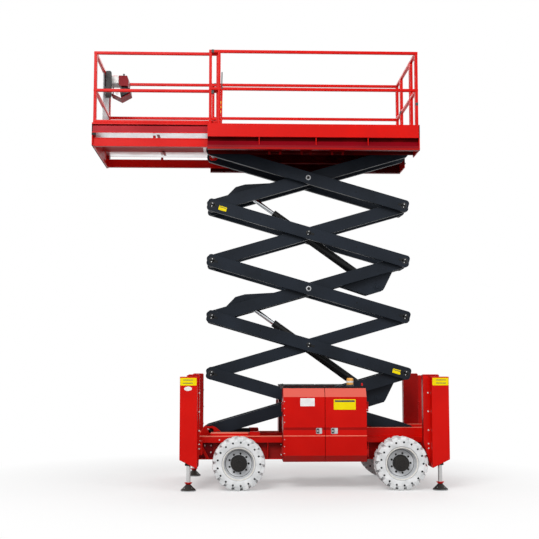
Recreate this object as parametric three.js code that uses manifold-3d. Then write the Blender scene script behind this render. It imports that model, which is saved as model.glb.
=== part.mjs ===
// Self-propelled scissor lift for rough ground: five scissor stages, an extending
// deck, four corner outriggers and solid tyres. Millimetres, +Z up, +X towards the
// entry gate, -Y towards the machine's left side. The group's origin is on the
// ground, under the middle of the whole machine.
import * as THREE from "three";
import { mergeVertices } from "three/addons/utils/BufferGeometryUtils.js";
import Module from "manifold-3d";

const wasm = await Module();
wasm.setup();

// ---------------------------------------------------------------- driving sizes
const SEAT = 0.3; // gap between two pieces that rest on each other
const PIN_PLAY = 0.5; // a pin's clearance in its bore
const RUNNING = 5; // clearance between pieces that move past each other

const WHEEL_BASE = 2010;
const WHEEL_RADIUS = 325;
const TYRE_WIDTH = 290;
const TRACK_OUTER = 1810; // over the tyres' outer walls
const RIM_RADIUS = 205;
const HUB_RADIUS = 98;
const SPINDLE_RADIUS = 35;
const KINGPIN_Y = 530;
const KINGPIN_RADIUS = 30;

const RAIL_INNER = 360; // chassis rail's web, out from the middle
const RAIL_OUTER = 480;
const RAIL_BOTTOM = 340;
const RAIL_TOP = 620;
const WEB = 25;

const TOWER_FRONT_X = -1730; // outer edge of the front outrigger towers
const TOWER_REAR_X = 1590;
const TOWER_INNER = 680;
const TOWER_OUTER = 940;
const TOWER_TOP = 1388;
const COVER_WIDTH = 215;
const FLANGE_WIDTH = 80;
const LEG_INSET = 108; // leg's axis in from the tower's outer edge
const LEG_Y = 845;
const LEG_RADIUS = 26;
const PAD_RADIUS = 94;

const ARM_PITCH = 2640; // pin to pin along an arm
const ARM_HEIGHT = 160;
const ARM_WIDTH = 60;
const INNER_ARM_Y = 135; // inner face of the inner arms
const OUTER_ARM_Y = 210; // inner face of the outer arms
const ARM_ANGLE = THREE.MathUtils.degToRad(16.2);
const STAGES = 5;
const FIXED_PIN_X = -1362;
const BASE_PIN_Z = 690;
const END_PIN_RADIUS = 35;
const CENTRE_PIN_RADIUS = 30;
const END_TUBE_RADIUS = 55;
const ROUND_END = 85; // arm end's reach past its pin where it turns near a plate
const SQUARE_END = 80;
const ROLLER_RADIUS = 42;
const ROLLER_Y = [285, 335];

const CYLINDER_FOOT = [900, -220]; // along and above an arm's middle
const CYLINDER_HEAD = [-870, 100];
const BARREL_RADIUS = 50;
const BARREL_LENGTH = 1700;
const ROD_RADIUS = 28;
const ROD_LENGTH = 1750;
const LUG_Y = [72, 92];

const DECK_FRONT_X = -1415;
const DECK_REAR_X = 1300;
const DECK_HALF = 800;
const DECK_PLATE = 10;
const DECK_DEPTH = 205; // deck surface down to the side channels' lower flanges
const TOE_HEIGHT = 125;
const RAIL_HEIGHT = 1090; // top of the guard rail above the deck
const MID_RAIL_HEIGHT = 600;
const TUBE = 38; // guard rail tube

const EXTENSION_FRONT_X = -2886;
const EXTENSION_TAIL_X = -1150; // where the sliding floor ends, over the main deck
const EXTENSION_HALF = 748;
const BEAM_TAIL_X = -950;
const BEAM_Y = [650, 705];

const CABINET_X = [-456, 577];
const CABINET_BACK = RAIL_OUTER + SEAT;
const CABINET_FRONT = 862;
const CABINET_BOTTOM = 340;
const CABINET_TOP = 1262;
const PANEL = 18; // cabinet walls
const DOOR = 25; // door thickness

// ------------------------------------------------------------- worked out sizes
const HALF_ARM = ARM_PITCH / 2;
const STAGE_RISE = ARM_PITCH * Math.sin(ARM_ANGLE);
const STAGE_SPAN = ARM_PITCH * Math.cos(ARM_ANGLE);
const CENTRE_X = FIXED_PIN_X + STAGE_SPAN / 2;
const TOP_PIN_Z = BASE_PIN_Z + STAGES * STAGE_RISE;
const DECK_UNDER = TOP_PIN_Z + ROUND_END + RUNNING;
const DECK_TOP = DECK_UNDER + DECK_PLATE;
const WHEEL_Y = TRACK_OUTER / 2 - TYRE_WIDTH / 2;
const AXLE_X = { front: -WHEEL_BASE / 2, rear: WHEEL_BASE / 2 };
const MIDDLE_X = (EXTENSION_FRONT_X + TOWER_REAR_X) / 2;
const CHANNEL_BOTTOM = DECK_TOP - DECK_DEPTH;
const RIB_DEPTH = 42; // deck ribs, below the deck's surface
const TOE_BOARD = 8; // thickness of the toe boards
const END_PLATE = 12; // thickness of the plates across the decks' ends

// ---------------------------------------------------------------------- finishes
const paint = (color, roughness = 0.4, metalness = 0.1) =>
  new THREE.MeshStandardMaterial({ color, roughness, metalness });
const RED = paint(0xcf1208);
const DARK_RED = paint(0x9a0a06);
const ARM_PAINT = paint(0x242b35, 0.45);
const BLACK = paint(0x15171a, 0.6, 0);
const PALE_TYRE = paint(0xdedfdf, 0.8, 0);
const RIM_GREY = paint(0xb9bcc0, 0.45, 0.3);
const CHROME = paint(0xd8dadc, 0.15, 1);
const AMBER = paint(0xe86a12, 0.25, 0);

// ----------------------------------------------------------------- solid helpers
/** Closed geometry to a solid, with its triangles facing out. */
function solid(geometry) {
  const bare = geometry.index ? geometry.toNonIndexed() : geometry.clone();
  bare.deleteAttribute("normal");
  bare.deleteAttribute("uv");
  const merged = mergeVertices(bare, 1e-4);
  const vertProperties = new Float32Array(merged.attributes.position.array);
  const triVerts = new Uint32Array(merged.index.array);
  const made = new wasm.Manifold(new wasm.Mesh({ numProp: 3, vertProperties, triVerts }));
  if (made.volume() > 0) return made;
  triVerts.reverse();
  return new wasm.Manifold(new wasm.Mesh({ numProp: 3, vertProperties, triVerts }));
}

/** Joins solids into one. */
const join = (...parts) => parts.flat().reduce((whole, part) => whole.add(part));

/** A box from its limits along each axis, in any order. */
function block(x, y, z) {
  const size = [x, y, z].map((span) => Math.abs(span[1] - span[0]));
  const middle = [x, y, z].map((span) => (span[0] + span[1]) / 2);
  return solid(new THREE.BoxGeometry(...size).translate(...middle));
}

const ACROSS = {
  x: new THREE.Matrix4().makeBasis(
    new THREE.Vector3(0, 1, 0),
    new THREE.Vector3(0, 0, 1),
    new THREE.Vector3(1, 0, 0),
  ),
  y: new THREE.Matrix4().makeBasis(
    new THREE.Vector3(1, 0, 0),
    new THREE.Vector3(0, 0, 1),
    new THREE.Vector3(0, -1, 0),
  ),
  z: new THREE.Matrix4(),
};

/** An outline pushed along an axis: (y, z) points for x, (x, z) for y, (x, y) for z. */
function prism(points, axis, span) {
  const outline = points.map(([u, v]) => new THREE.Vector2(u, v));
  const shape = new THREE.Shape(THREE.ShapeUtils.isClockWise(outline) ? outline.reverse() : outline);
  const low = Math.min(...span);
  const high = Math.max(...span);
  const pushed = new THREE.ExtrudeGeometry(shape, { depth: high - low, bevelEnabled: false });
  pushed.applyMatrix4(ACROSS[axis]);
  const start = axis === "y" ? high : low;
  const move = { x: [start, 0, 0], y: [0, start, 0], z: [0, 0, start] }[axis];
  return solid(pushed.translate(...move));
}

/** A round bar along an axis, centred at the other two coordinates. */
function bar(radius, axis, span, centre, sides = 20) {
  const geometry = new THREE.CylinderGeometry(radius, radius, Math.abs(span[1] - span[0]), sides);
  const middle = (span[0] + span[1]) / 2;
  if (axis === "x") geometry.rotateZ(-Math.PI / 2).translate(middle, centre[0], centre[1]);
  if (axis === "y") geometry.translate(centre[0], middle, centre[1]);
  if (axis === "z") geometry.rotateX(Math.PI / 2).translate(centre[0], centre[1], middle);
  return solid(geometry);
}

/** A turned shape about Y from (radius, along) points that go up the axis. */
const turned = (points, sides = 32) =>
  solid(new THREE.LatheGeometry(points.map(([r, a]) => new THREE.Vector2(r, a)), sides));

/** The same piece on both sides of the machine, made by a function of the side. */
const bothSides = (make) => join(make(-1), make(1));

/** A span across the machine on one side. */
const across = (side, inner, outer) => [side * inner, side * outer];

const model = new THREE.Group();

/** Adds a solid to the model as a named mesh. */
function place(name, body, material, position = [0, 0, 0], turn = [0, 0, 0]) {
  const { vertProperties, triVerts } = body.getMesh();
  const geometry = new THREE.BufferGeometry();
  geometry.setAttribute("position", new THREE.BufferAttribute(vertProperties, 3));
  geometry.setIndex(new THREE.BufferAttribute(triVerts, 1));
  geometry.computeVertexNormals();
  const mesh = new THREE.Mesh(geometry, material.clone());
  mesh.name = name;
  mesh.position.set(...position);
  mesh.rotation.set(...turn);
  model.add(mesh);
}

const SIDES = { left: -1, right: 1 };

// ------------------------------------------------------------------------ chassis
const CHASSIS_X = [TOWER_FRONT_X + 40, TOWER_REAR_X - 40];
const CROSS_BEAM = 230; // length of the end beams that carry the towers
const LIP_BOTTOM = 555;
const PIVOT_PLATE_TOP = BASE_PIN_Z - ROUND_END - RUNNING - 5;
const ROLLER_FLOOR = BASE_PIN_Z - ROLLER_RADIUS - RUNNING;

/** One chassis rail: web with a deep upper lip and a lower flange. */
function chassisRail(side) {
  const web = block(CHASSIS_X, across(side, RAIL_INNER, RAIL_INNER + WEB), [RAIL_BOTTOM, RAIL_TOP]);
  const lip = block(CHASSIS_X, across(side, RAIL_INNER, RAIL_OUTER), [LIP_BOTTOM, RAIL_TOP]);
  const flange = block(CHASSIS_X, across(side, RAIL_INNER, 420), [RAIL_BOTTOM, RAIL_BOTTOM + 15]);
  const capX = [FIXED_PIN_X, -880];
  const cap = block(capX, across(side, RAIL_INNER + 20, RAIL_OUTER - 20), [RAIL_TOP - 10, 662]);
  const stop = block([-870, -735], across(side, RAIL_INNER, RAIL_OUTER), [RAIL_TOP - 10, 700]);
  return join(web, lip, flange, cap, stop);
}

/** Open channel in which the lowest stage's roller travels. */
function rollerTrack(side) {
  const span = [CABINET_X[1] - 330, CHASSIS_X[1]];
  const floor = block(span, across(side, ROLLER_Y[0] - 5, RAIL_INNER + 12), [600, ROLLER_FLOOR]);
  const wall = block(span, across(side, ROLLER_Y[1] + 12, RAIL_INNER + 10), [600, 738]);
  return join(floor, wall);
}

/** Lug that holds the lowest stage's fixed pin. */
function pivotLug(side) {
  const low = PIVOT_PLATE_TOP - 10;
  const outline = [[-1500, low], [-1470, 745], [-1410, 778], [-1335, 768], [-1205, 655], [-1205, low]];
  return prism(outline, "y", across(side, OUTER_ARM_Y - 5, OUTER_ARM_Y + 35));
}

/** Frame that everything is built on, with its end beams, roller tracks and pivot pin. */
function chassis() {
  const beamZ = [420, 590];
  const frontBeam = block(
    [CHASSIS_X[0], CHASSIS_X[0] + CROSS_BEAM],
    [-TOWER_INNER + SEAT, TOWER_INNER - SEAT],
    beamZ,
  );
  const rearBeam = block(
    [CHASSIS_X[1] - CROSS_BEAM, CHASSIS_X[1]],
    [-TOWER_INNER + SEAT, TOWER_INNER - SEAT],
    beamZ,
  );
  const inside = [-RAIL_INNER - 5, RAIL_INNER + 5];
  const pivotPlate = block([-1560, -1200], inside, [555, PIVOT_PLATE_TOP]);
  const ties = [-1055, -420, 480, 955].map((x) => block([x, x + 100], inside, [RAIL_BOTTOM, 440]));
  const pinEnds = [-OUTER_ARM_Y - 35, OUTER_ARM_Y + 35];
  const pivotPin = bar(END_PIN_RADIUS, "y", pinEnds, [FIXED_PIN_X, BASE_PIN_Z]);
  const sides = [bothSides(chassisRail), bothSides(rollerTrack), bothSides(pivotLug)];
  return join(frontBeam, rearBeam, pivotPlate, ties, sides, pivotPin);
}

place("chassis", chassis(), RED);

// ----------------------------------------------------------- towers and outriggers
/** Outrigger housing: outer cover, taller column behind it and a bolted flange. */
function tower(end, side) {
  const edge = end === "front" ? TOWER_FRONT_X : TOWER_REAR_X;
  const inward = end === "front" ? 1 : -1;
  const at = (points) => points.map(([u, z]) => [edge + inward * u, z]);
  const width = COVER_WIDTH + FLANGE_WIDTH;
  const cover = at([[0, TOWER_TOP], [0, 380], [COVER_WIDTH, 275], [COVER_WIDTH, TOWER_TOP]]);
  const column = at([
    [90, TOWER_TOP + 24], [90, 337], [COVER_WIDTH, 275], [COVER_WIDTH + 12, 290],
    [width, 575], [width, TOWER_TOP + 24],
  ]);
  const shell = join(
    prism(cover, "y", across(side, TOWER_INNER + 90, TOWER_OUTER)),
    prism(column, "y", across(side, TOWER_INNER, TOWER_INNER + 110)),
  );
  const legX = edge + inward * LEG_INSET;
  const bore = bar(LEG_RADIUS + PIN_PLAY, "z", [200, 1300], [legX, side * LEG_Y]);
  return shell.subtract(bore);
}

const LEG_TOP = 1080;
// Leg with its collar, ball neck and ground pad, from the ground up.
const OUTRIGGER = [
  [0, 0], [PAD_RADIUS, 0], [PAD_RADIUS, 14], [38, 62], [24, 70], [24, 84], [46, 88], [46, 104],
  [LEG_RADIUS, 104], [LEG_RADIUS, LEG_TOP], [0, LEG_TOP],
];

for (const end of ["front", "rear"]) {
  const legX = end === "front" ? TOWER_FRONT_X + LEG_INSET : TOWER_REAR_X - LEG_INSET;
  for (const [hand, side] of Object.entries(SIDES)) {
    place(`tower_${end}_${hand}`, tower(end, side), RED);
    const leg = turned(OUTRIGGER, 24);
    place(`outrigger_${end}_${hand}`, leg, CHROME, [legX, side * LEG_Y, 0], [Math.PI / 2, 0, 0]);
  }
}

// ------------------------------------------------------------- axles and knuckles
const AXLE_Z = [262, RAIL_BOTTOM - SEAT];
const SPINDLE_END = 720;

/** Beam under the chassis rails, with a kingpin at each end. */
function frontAxle() {
  const beam = block([AXLE_X.front - 50, AXLE_X.front + 50], [-KINGPIN_Y, KINGPIN_Y], AXLE_Z);
  const kingpins = bothSides((side) =>
    bar(KINGPIN_RADIUS, "z", [205, 430], [AXLE_X.front, side * KINGPIN_Y]));
  const bosses = bothSides((side) => bar(50, "z", AXLE_Z, [AXLE_X.front, side * KINGPIN_Y]));
  return join(beam, kingpins, bosses);
}

/** Straight beam with a spindle at each end. */
function rearAxle() {
  const beam = block([AXLE_X.rear - 55, AXLE_X.rear + 55], [-560, 560], AXLE_Z);
  const flange = bothSides((side) => bar(78, "y", across(side, 550, 600), [AXLE_X.rear, WHEEL_RADIUS]));
  const spindles = bothSides((side) =>
    bar(SPINDLE_RADIUS, "y", across(side, 560, SPINDLE_END), [AXLE_X.rear, WHEEL_RADIUS]));
  return join(beam, flange, spindles);
}

/** Steering knuckle: a fork around the kingpin that carries the wheel's spindle. */
function knuckle(side) {
  const x = AXLE_X.front;
  const fork = [[AXLE_Z[1] + RUNNING + 6, 415], [218, AXLE_Z[0] - RUNNING - 6]].map((z) =>
    join(
      bar(48, "z", z, [x, side * KINGPIN_Y]),
      block([x - 48, x + 48], across(side, KINGPIN_Y, KINGPIN_Y + 78), z),
    ));
  const plate = block([x - 58, x + 58], across(side, KINGPIN_Y + 62, KINGPIN_Y + 80), [218, 415]);
  const spindle = bar(SPINDLE_RADIUS, "y", across(side, KINGPIN_Y + 70, SPINDLE_END), [x, WHEEL_RADIUS]);
  const bore = bar(KINGPIN_RADIUS + PIN_PLAY, "z", [150, 500], [x, side * KINGPIN_Y]);
  return join(fork, plate, spindle).subtract(bore);
}

place("front_axle", frontAxle(), RED);
place("rear_axle", rearAxle(), RED);
place("knuckle_left", knuckle(-1), BLACK);
place("knuckle_right", knuckle(1), BLACK);

// ------------------------------------------------------------------------- wheels
const HALF_TYRE = TYRE_WIDTH / 2;
const TYRE = [
  [RIM_RADIUS, -HALF_TYRE + 22], [WHEEL_RADIUS - 85, -HALF_TYRE], [WHEEL_RADIUS - 25, -HALF_TYRE],
  [WHEEL_RADIUS, -HALF_TYRE + 22], [WHEEL_RADIUS, HALF_TYRE - 22], [WHEEL_RADIUS - 25, HALF_TYRE],
  [WHEEL_RADIUS - 85, HALF_TYRE], [RIM_RADIUS, HALF_TYRE - 22], [RIM_RADIUS, -HALF_TYRE + 22],
];
const RIM_EDGE = HALF_TYRE - 25;
const RIM_SEAT = RIM_RADIUS - SEAT;
const SPINDLE_BORE = SPINDLE_RADIUS + PIN_PLAY;
const SPINDLE_REACH = SPINDLE_END - WHEEL_Y + RUNNING; // blind end of the hub's bore
const RIM = [
  [0, SPINDLE_REACH], [SPINDLE_BORE, SPINDLE_REACH], [SPINDLE_BORE, -RIM_EDGE],
  [HUB_RADIUS, -RIM_EDGE], [HUB_RADIUS, 0], [RIM_SEAT - 22, 0],
  [RIM_SEAT - 14, -RIM_EDGE], [RIM_SEAT, -RIM_EDGE], [RIM_SEAT, RIM_EDGE], [RIM_SEAT - 14, RIM_EDGE],
  [RIM_SEAT - 30, 26], [HUB_RADIUS, 26], [HUB_RADIUS, 100], [HUB_RADIUS - 14, 112], [0, 112],
];

for (const end of ["front", "rear"]) {
  for (const [hand, side] of Object.entries(SIDES)) {
    const at = [AXLE_X[end], side * WHEEL_Y, WHEEL_RADIUS];
    const turn = [side < 0 ? Math.PI : 0, 0, 0];
    place(`tyre_${end}_${hand}`, turned(TYRE), PALE_TYRE, at, turn);
    place(`rim_${end}_${hand}`, turned(RIM), RIM_GREY, at, turn);
  }
}

// ----------------------------------------------------------------------- cabinets
const DOOR_FACE = [
  [CABINET_FRONT - 92, CABINET_TOP], [CABINET_FRONT - 2, 1140], [CABINET_FRONT - 2, 802],
  [CABINET_FRONT - 12, 736], [CABINET_FRONT + 4, 664], [CABINET_FRONT, 652],
  [CABINET_FRONT, 425], [CABINET_FRONT - 40, CABINET_BOTTOM + 4],
];
const DOOR_BACK = [
  [CABINET_FRONT - 60, CABINET_BOTTOM + 4], [CABINET_FRONT - DOOR, 428], [CABINET_FRONT - DOOR, 650],
  [CABINET_FRONT - 37, 736], [CABINET_FRONT - 27, 800], [CABINET_FRONT - 27, 1132],
  [CABINET_FRONT - 105, 1238],
];
const WALL_EDGE = CABINET_FRONT - 45; // front edge of the cabinet's end walls
const HINGE_X = 14; // hinge axis out from the cabinet's end
const HINGE_Y = CABINET_FRONT - 12;
const HINGE_Z = [470, 1020];
const HINGE_PIN = 5;
const MEETING_GAP = 6;

/** Hollow cabinet with its open front behind the doors, and hinge pins on its ends. */
function cabinet(side) {
  const [x0, x1] = CABINET_X;
  const wall = [
    [CABINET_BACK, CABINET_BOTTOM], [CABINET_FRONT - 80, CABINET_BOTTOM], [WALL_EDGE, 440],
    [WALL_EDGE, 1110], [CABINET_FRONT - 118, 1216], [CABINET_FRONT - 124, 1248], [CABINET_BACK, 1248],
  ];
  const mirror = (points) => points.map(([y, z]) => [side * y, z]);
  const ends = [[x0, x0 + PANEL], [x1 - PANEL, x1]].map((x) => prism(mirror(wall), "x", x));
  const back = block(CABINET_X, across(side, CABINET_BACK, CABINET_BACK + PANEL), [CABINET_BOTTOM, 1250]);
  const floorZ = [CABINET_BOTTOM, CABINET_BOTTOM + PANEL];
  const floor = block(CABINET_X, across(side, CABINET_BACK, CABINET_FRONT - 85), floorZ);
  const topEdge = CABINET_FRONT - 92 - RUNNING - 14;
  const top = block(CABINET_X, across(side, CABINET_BACK, topEdge), [CABINET_TOP - PANEL, CABINET_TOP]);
  const hinges = [x0 - HINGE_X, x1 + HINGE_X].map((axisX) => HINGE_Z.map((z) => {
    const towards = axisX < 0 ? 1 : -1;
    const bracket = (low) => block(
      [axisX - towards * 8, axisX + towards * (HINGE_X + 10)],
      across(side, WALL_EDGE - 30, WALL_EDGE - 4),
      [low, low + 20],
    );
    const ear = (low) => block(
      [axisX - towards * 8, axisX + towards * 8],
      across(side, WALL_EDGE - 30, HINGE_Y + 7),
      [low, low + 20],
    );
    const pin = bar(HINGE_PIN, "z", [z - 50, z + 50], [axisX, side * HINGE_Y], 12);
    return join(bracket(z - 60), bracket(z + 40), ear(z - 60), ear(z + 40), pin);
  }));
  return join(ends, back, floor, top, hinges.flat());
}

/** One door of a cabinet: front face, sloping shoulder and two hinge knuckles. */
function door(side, end) {
  const middle = (CABINET_X[0] + CABINET_X[1]) / 2;
  const leaf = end === "front"
    ? [CABINET_X[0], middle - MEETING_GAP / 2]
    : [middle + MEETING_GAP / 2, CABINET_X[1]];
  const face = [...DOOR_FACE, ...DOOR_BACK].map(([y, z]) => [side * y, z]);
  const axisX = end === "front" ? CABINET_X[0] - HINGE_X : CABINET_X[1] + HINGE_X;
  const towards = end === "front" ? 1 : -1;
  const knuckles = HINGE_Z.map((z) => {
    const tube = bar(HINGE_PIN + 5, "z", [z - 33, z + 33], [axisX, side * HINGE_Y], 16);
    const strap = block(
      [axisX, axisX + towards * (HINGE_X + 8)],
      across(side, HINGE_Y, HINGE_Y + 9),
      [z - 33, z + 33],
    );
    const bore = bar(HINGE_PIN + PIN_PLAY, "z", [z - 60, z + 60], [axisX, side * HINGE_Y], 12);
    return join(tube, strap).subtract(bore);
  });
  return join(prism(face, "x", leaf), knuckles);
}

for (const [hand, side] of Object.entries(SIDES)) {
  place(`cabinet_${hand}`, cabinet(side), DARK_RED);
  place(`cabinet_door_front_${hand}`, door(side, "front"), RED);
  place(`cabinet_door_rear_${hand}`, door(side, "rear"), RED);
}
const ENGINE_Y = [CABINET_BACK + PANEL + 10, CABINET_FRONT - 70];
place("engine_block", block([-250, 350], ENGINE_Y, [CABINET_BOTTOM + PANEL + SEAT, 900]), BLACK);

// Flashing light on its foot, on the left cabinet.
const BEACON_AT = [405, -560, CABINET_TOP + SEAT];
const BEACON = [[0, 0], [52, 0], [52, 22], [42, 26], [42, 92], [30, 106], [0, 110]];
place("beacon", turned(BEACON, 24), AMBER, BEACON_AT, [Math.PI / 2, 0, 0]);

/** Steps to the platform, fixed to the rear beam. */
function ladder() {
  const x = [CHASSIS_X[1] + SEAT, CHASSIS_X[1] + 40];
  const stiles = bothSides((side) => block(x, across(side, 190, 215), [330, 1240]));
  const rungs = [400, 660, 920, 1180].map((z) => block(x, [-200, 200], [z, z + 30]));
  return join(stiles, rungs);
}

place("rear_ladder", ladder(), DARK_RED);

// ------------------------------------------------------------------ scissor stack
/** Corners of an arm's end, in order from its lower edge to its upper edge. */
function endCorners(rounded) {
  const half = ARM_HEIGHT / 2;
  if (!rounded) {
    return [
      [SQUARE_END - 25, -half], [SQUARE_END, 25 - half],
      [SQUARE_END, half - 25], [SQUARE_END - 25, half],
    ];
  }
  const limit = Math.asin(half / ROUND_END);
  const steps = 6;
  return Array.from({ length: steps + 1 }, (_, i) => {
    const turn = -limit + (2 * limit * i) / steps;
    return [ROUND_END * Math.cos(turn), ROUND_END * Math.sin(turn)];
  });
}

/** A pair of arms on one frame, in the frame's own axes: X along it, Z across its height. */
function armPair(innerFace, roundedStart, roundedEnd) {
  const ahead = endCorners(roundedEnd).map(([u, v]) => [HALF_ARM + u, v]);
  const behind = endCorners(roundedStart).map(([u, v]) => [-HALF_ARM - u, -v]);
  const outline = [...ahead, ...behind];
  return bothSides((side) => prism(outline, "y", across(side, innerFace, innerFace + ARM_WIDTH)));
}

const LUG_FOOT = [
  [430, -50], [430, -80], [720, -280], [740, -290], [960, -288], [985, -268], [1160, -80], [1160, -50],
];
const LUG_HEAD = [[-1110, 50], [-1110, 80], [-950, 172], [-820, 172], [-420, 80], [-420, 50]];
const LUG_TIE = { foot: [1100, 1190], head: [-1100, -1010] };
const LUG_PIN_RADIUS = 25;

/** Plates for a cylinder's eye, strips that join them to the arms, and a tie across the frame. */
function cylinderLug(outline, tie) {
  const plates = bothSides((side) => prism(outline, "y", across(side, ...LUG_Y)));
  const cross = block(tie, [-INNER_ARM_Y - 5, INNER_ARM_Y + 5], [-60, 60]);
  const length = [outline[0][0], outline[outline.length - 1][0]];
  const edge = Math.sign(outline[0][1]);
  const strips = bothSides((side) =>
    block(length, across(side, LUG_Y[0], INNER_ARM_Y + 5), [edge * 50, edge * 70]));
  return join(plates, cross, strips);
}

/** Inner frame, rising to the rear, with bores for the outer frames' pins. */
function innerFrame(stage) {
  const last = stage === STAGES;
  const ends = last ? [-HALF_ARM] : [-HALF_ARM, HALF_ARM];
  const arms = armPair(INNER_ARM_Y, stage === 1, last);
  const reach = INNER_ARM_Y + ARM_WIDTH;
  const tubes = ends.map((x) => bar(END_TUBE_RADIUS, "y", [-INNER_ARM_Y - 5, INNER_ARM_Y + 5], [x, 0]));
  const bores = ends.map((x) => bar(END_PIN_RADIUS + PIN_PLAY, "y", [-reach - 5, reach + 5], [x, 0]));
  const centreBore = bar(CENTRE_PIN_RADIUS + PIN_PLAY, "y", [-reach - 5, reach + 5], [0, 0]);
  let frame = join(arms, tubes).subtract(join(bores, centreBore));
  if (stage === 1 || stage === 3) {
    const pin = bar(LUG_PIN_RADIUS, "y", [-LUG_Y[1], LUG_Y[1]], CYLINDER_FOOT);
    frame = join(frame, cylinderLug(LUG_FOOT, LUG_TIE.foot), pin);
  }
  if (stage === 3 || last) frame = join(frame, cylinderLug(LUG_HEAD, LUG_TIE.head));
  return last ? join(frame, rollerAxle(HALF_ARM)) : frame;
}

/** Axle across the machine with a roller at each end. */
function rollerAxle(x) {
  const axle = bar(END_PIN_RADIUS, "y", [-ROLLER_Y[1], ROLLER_Y[1]], [x, 0]);
  const rollers = bothSides((side) => bar(ROLLER_RADIUS, "y", across(side, ...ROLLER_Y), [x, 0]));
  return join(axle, rollers);
}

/** Outer frame, falling to the rear, with the pins that pass through the inner frames. */
function outerFrame(stage) {
  const reach = OUTER_ARM_Y + ARM_WIDTH;
  const arms = armPair(OUTER_ARM_Y, stage === STAGES, stage === 1);
  const frontPin = bar(END_PIN_RADIUS, "y", [-reach, reach], [-HALF_ARM, 0]);
  const rearPin = stage === 1
    ? rollerAxle(HALF_ARM)
    : bar(END_PIN_RADIUS, "y", [-reach, reach], [HALF_ARM, 0]);
  const centrePins = bothSides((side) =>
    bar(CENTRE_PIN_RADIUS, "y", across(side, INNER_ARM_Y - 3, reach), [0, 0]));
  return join(arms, frontPin, rearPin, centrePins);
}

const stageCentre = (stage) => [CENTRE_X, 0, BASE_PIN_Z + (stage - 0.5) * STAGE_RISE];

for (let stage = 1; stage <= STAGES; stage += 1) {
  place(`inner_arms_${stage}`, innerFrame(stage), ARM_PAINT, stageCentre(stage), [0, -ARM_ANGLE, 0]);
  place(`outer_arms_${stage}`, outerFrame(stage), ARM_PAINT, stageCentre(stage), [0, ARM_ANGLE, 0]);
}

// ---------------------------------------------------------------- lift cylinders
/** A point fixed to an inner frame, given along and above the frame's middle. */
function onInnerFrame(stage, [along, above]) {
  const [x, , z] = stageCentre(stage);
  const cos = Math.cos(ARM_ANGLE);
  const sin = Math.sin(ARM_ANGLE);
  return new THREE.Vector2(x + along * cos - above * sin, z + along * sin + above * cos);
}

const EYE_BORE = LUG_PIN_RADIUS + PIN_PLAY;
const EYE_Y = LUG_Y[0] - RUNNING - 2; // half the width of a cylinder's eye

/** Barrel along X from its foot's eye, open at the rod's end. */
function barrel() {
  const tube = bar(BARREL_RADIUS, "x", [30, BARREL_LENGTH], [0, 0]);
  const eye = bar(BARREL_RADIUS, "y", [-EYE_Y, EYE_Y], [0, 0]);
  const eyeBore = bar(EYE_BORE, "y", [-EYE_Y - 5, EYE_Y + 5], [0, 0]);
  const rodBore = bar(ROD_RADIUS + PIN_PLAY, "x", [60, BARREL_LENGTH + 5], [0, 0]);
  return join(tube, eye).subtract(join(eyeBore, rodBore));
}

/** Rod along X, back from its eye. */
function pistonRod() {
  const stem = bar(ROD_RADIUS, "x", [-ROD_LENGTH, -20], [0, 0]);
  const eye = bar(45, "y", [-EYE_Y, EYE_Y], [0, 0]);
  const eyeBore = bar(EYE_BORE, "y", [-EYE_Y - 5, EYE_Y + 5], [0, 0]);
  return join(stem, eye).subtract(eyeBore);
}

for (const [name, stage] of [["lower", 1], ["upper", 3]]) {
  const foot = onInnerFrame(stage, CYLINDER_FOOT);
  const head = onInnerFrame(stage + 2, CYLINDER_HEAD);
  const turn = [0, -Math.atan2(head.y - foot.y, head.x - foot.x), 0];
  place(`${name}_cylinder_barrel`, barrel(), BLACK, [foot.x, 0, foot.y], turn);
  place(`${name}_cylinder_rod`, pistonRod(), CHROME, [head.x, 0, head.y], turn);
}

// ------------------------------------------------------------------ platform deck
/** Section of a side channel: upper flange, recessed web, sloping foot and lower lip. */
function sideChannel(side) {
  const outer = DECK_HALF;
  const section = [
    [outer, DECK_TOP - 45], [outer, DECK_TOP], [outer - 70, DECK_TOP], [outer - 70, CHANNEL_BOTTOM + 60],
    [outer - 70, CHANNEL_BOTTOM], [outer, CHANNEL_BOTTOM], [outer, CHANNEL_BOTTOM + 52],
    [outer - 12, CHANNEL_BOTTOM + 52], [outer - 12, CHANNEL_BOTTOM + 60],
    [outer - 55, CHANNEL_BOTTOM + 118], [outer - 55, DECK_TOP - 45],
  ].map(([y, z]) => [side * y, z]);
  return prism(section, "x", [DECK_FRONT_X, DECK_REAR_X]);
}

/** Track under the deck for the top stage's roller. */
function deckTrack(side) {
  const lower = TOP_PIN_Z - ROLLER_RADIUS - RUNNING;
  const upper = TOP_PIN_Z + ROLLER_RADIUS + RUNNING;
  const span = [DECK_FRONT_X, DECK_REAR_X];
  const inner = ROLLER_Y[0] - 3;
  const web = ROLLER_Y[1] + 8;
  return join(
    block(span, across(side, web, web + 14), [lower - 14, DECK_UNDER + 5]),
    block(span, across(side, inner, web + 14), [lower - 14, lower]),
    block(span, across(side, inner, web + 14), [upper, DECK_UNDER + 5]),
  );
}

/** Lug on the deck for the top stage's fixed pin. */
function deckLug(side) {
  const outline = [
    [FIXED_PIN_X - 53, DECK_UNDER + 4], [FIXED_PIN_X - 53, TOP_PIN_Z - 30],
    [FIXED_PIN_X - 30, TOP_PIN_Z - 55], [FIXED_PIN_X + 30, TOP_PIN_Z - 55],
    [FIXED_PIN_X + 60, TOP_PIN_Z - 30], [FIXED_PIN_X + 60, DECK_UNDER + 4],
  ];
  const bore = bar(END_PIN_RADIUS + PIN_PLAY, "y", across(side, 140, 205), [FIXED_PIN_X, TOP_PIN_Z]);
  return prism(outline, "y", across(side, 150, 198)).subtract(bore);
}

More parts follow.
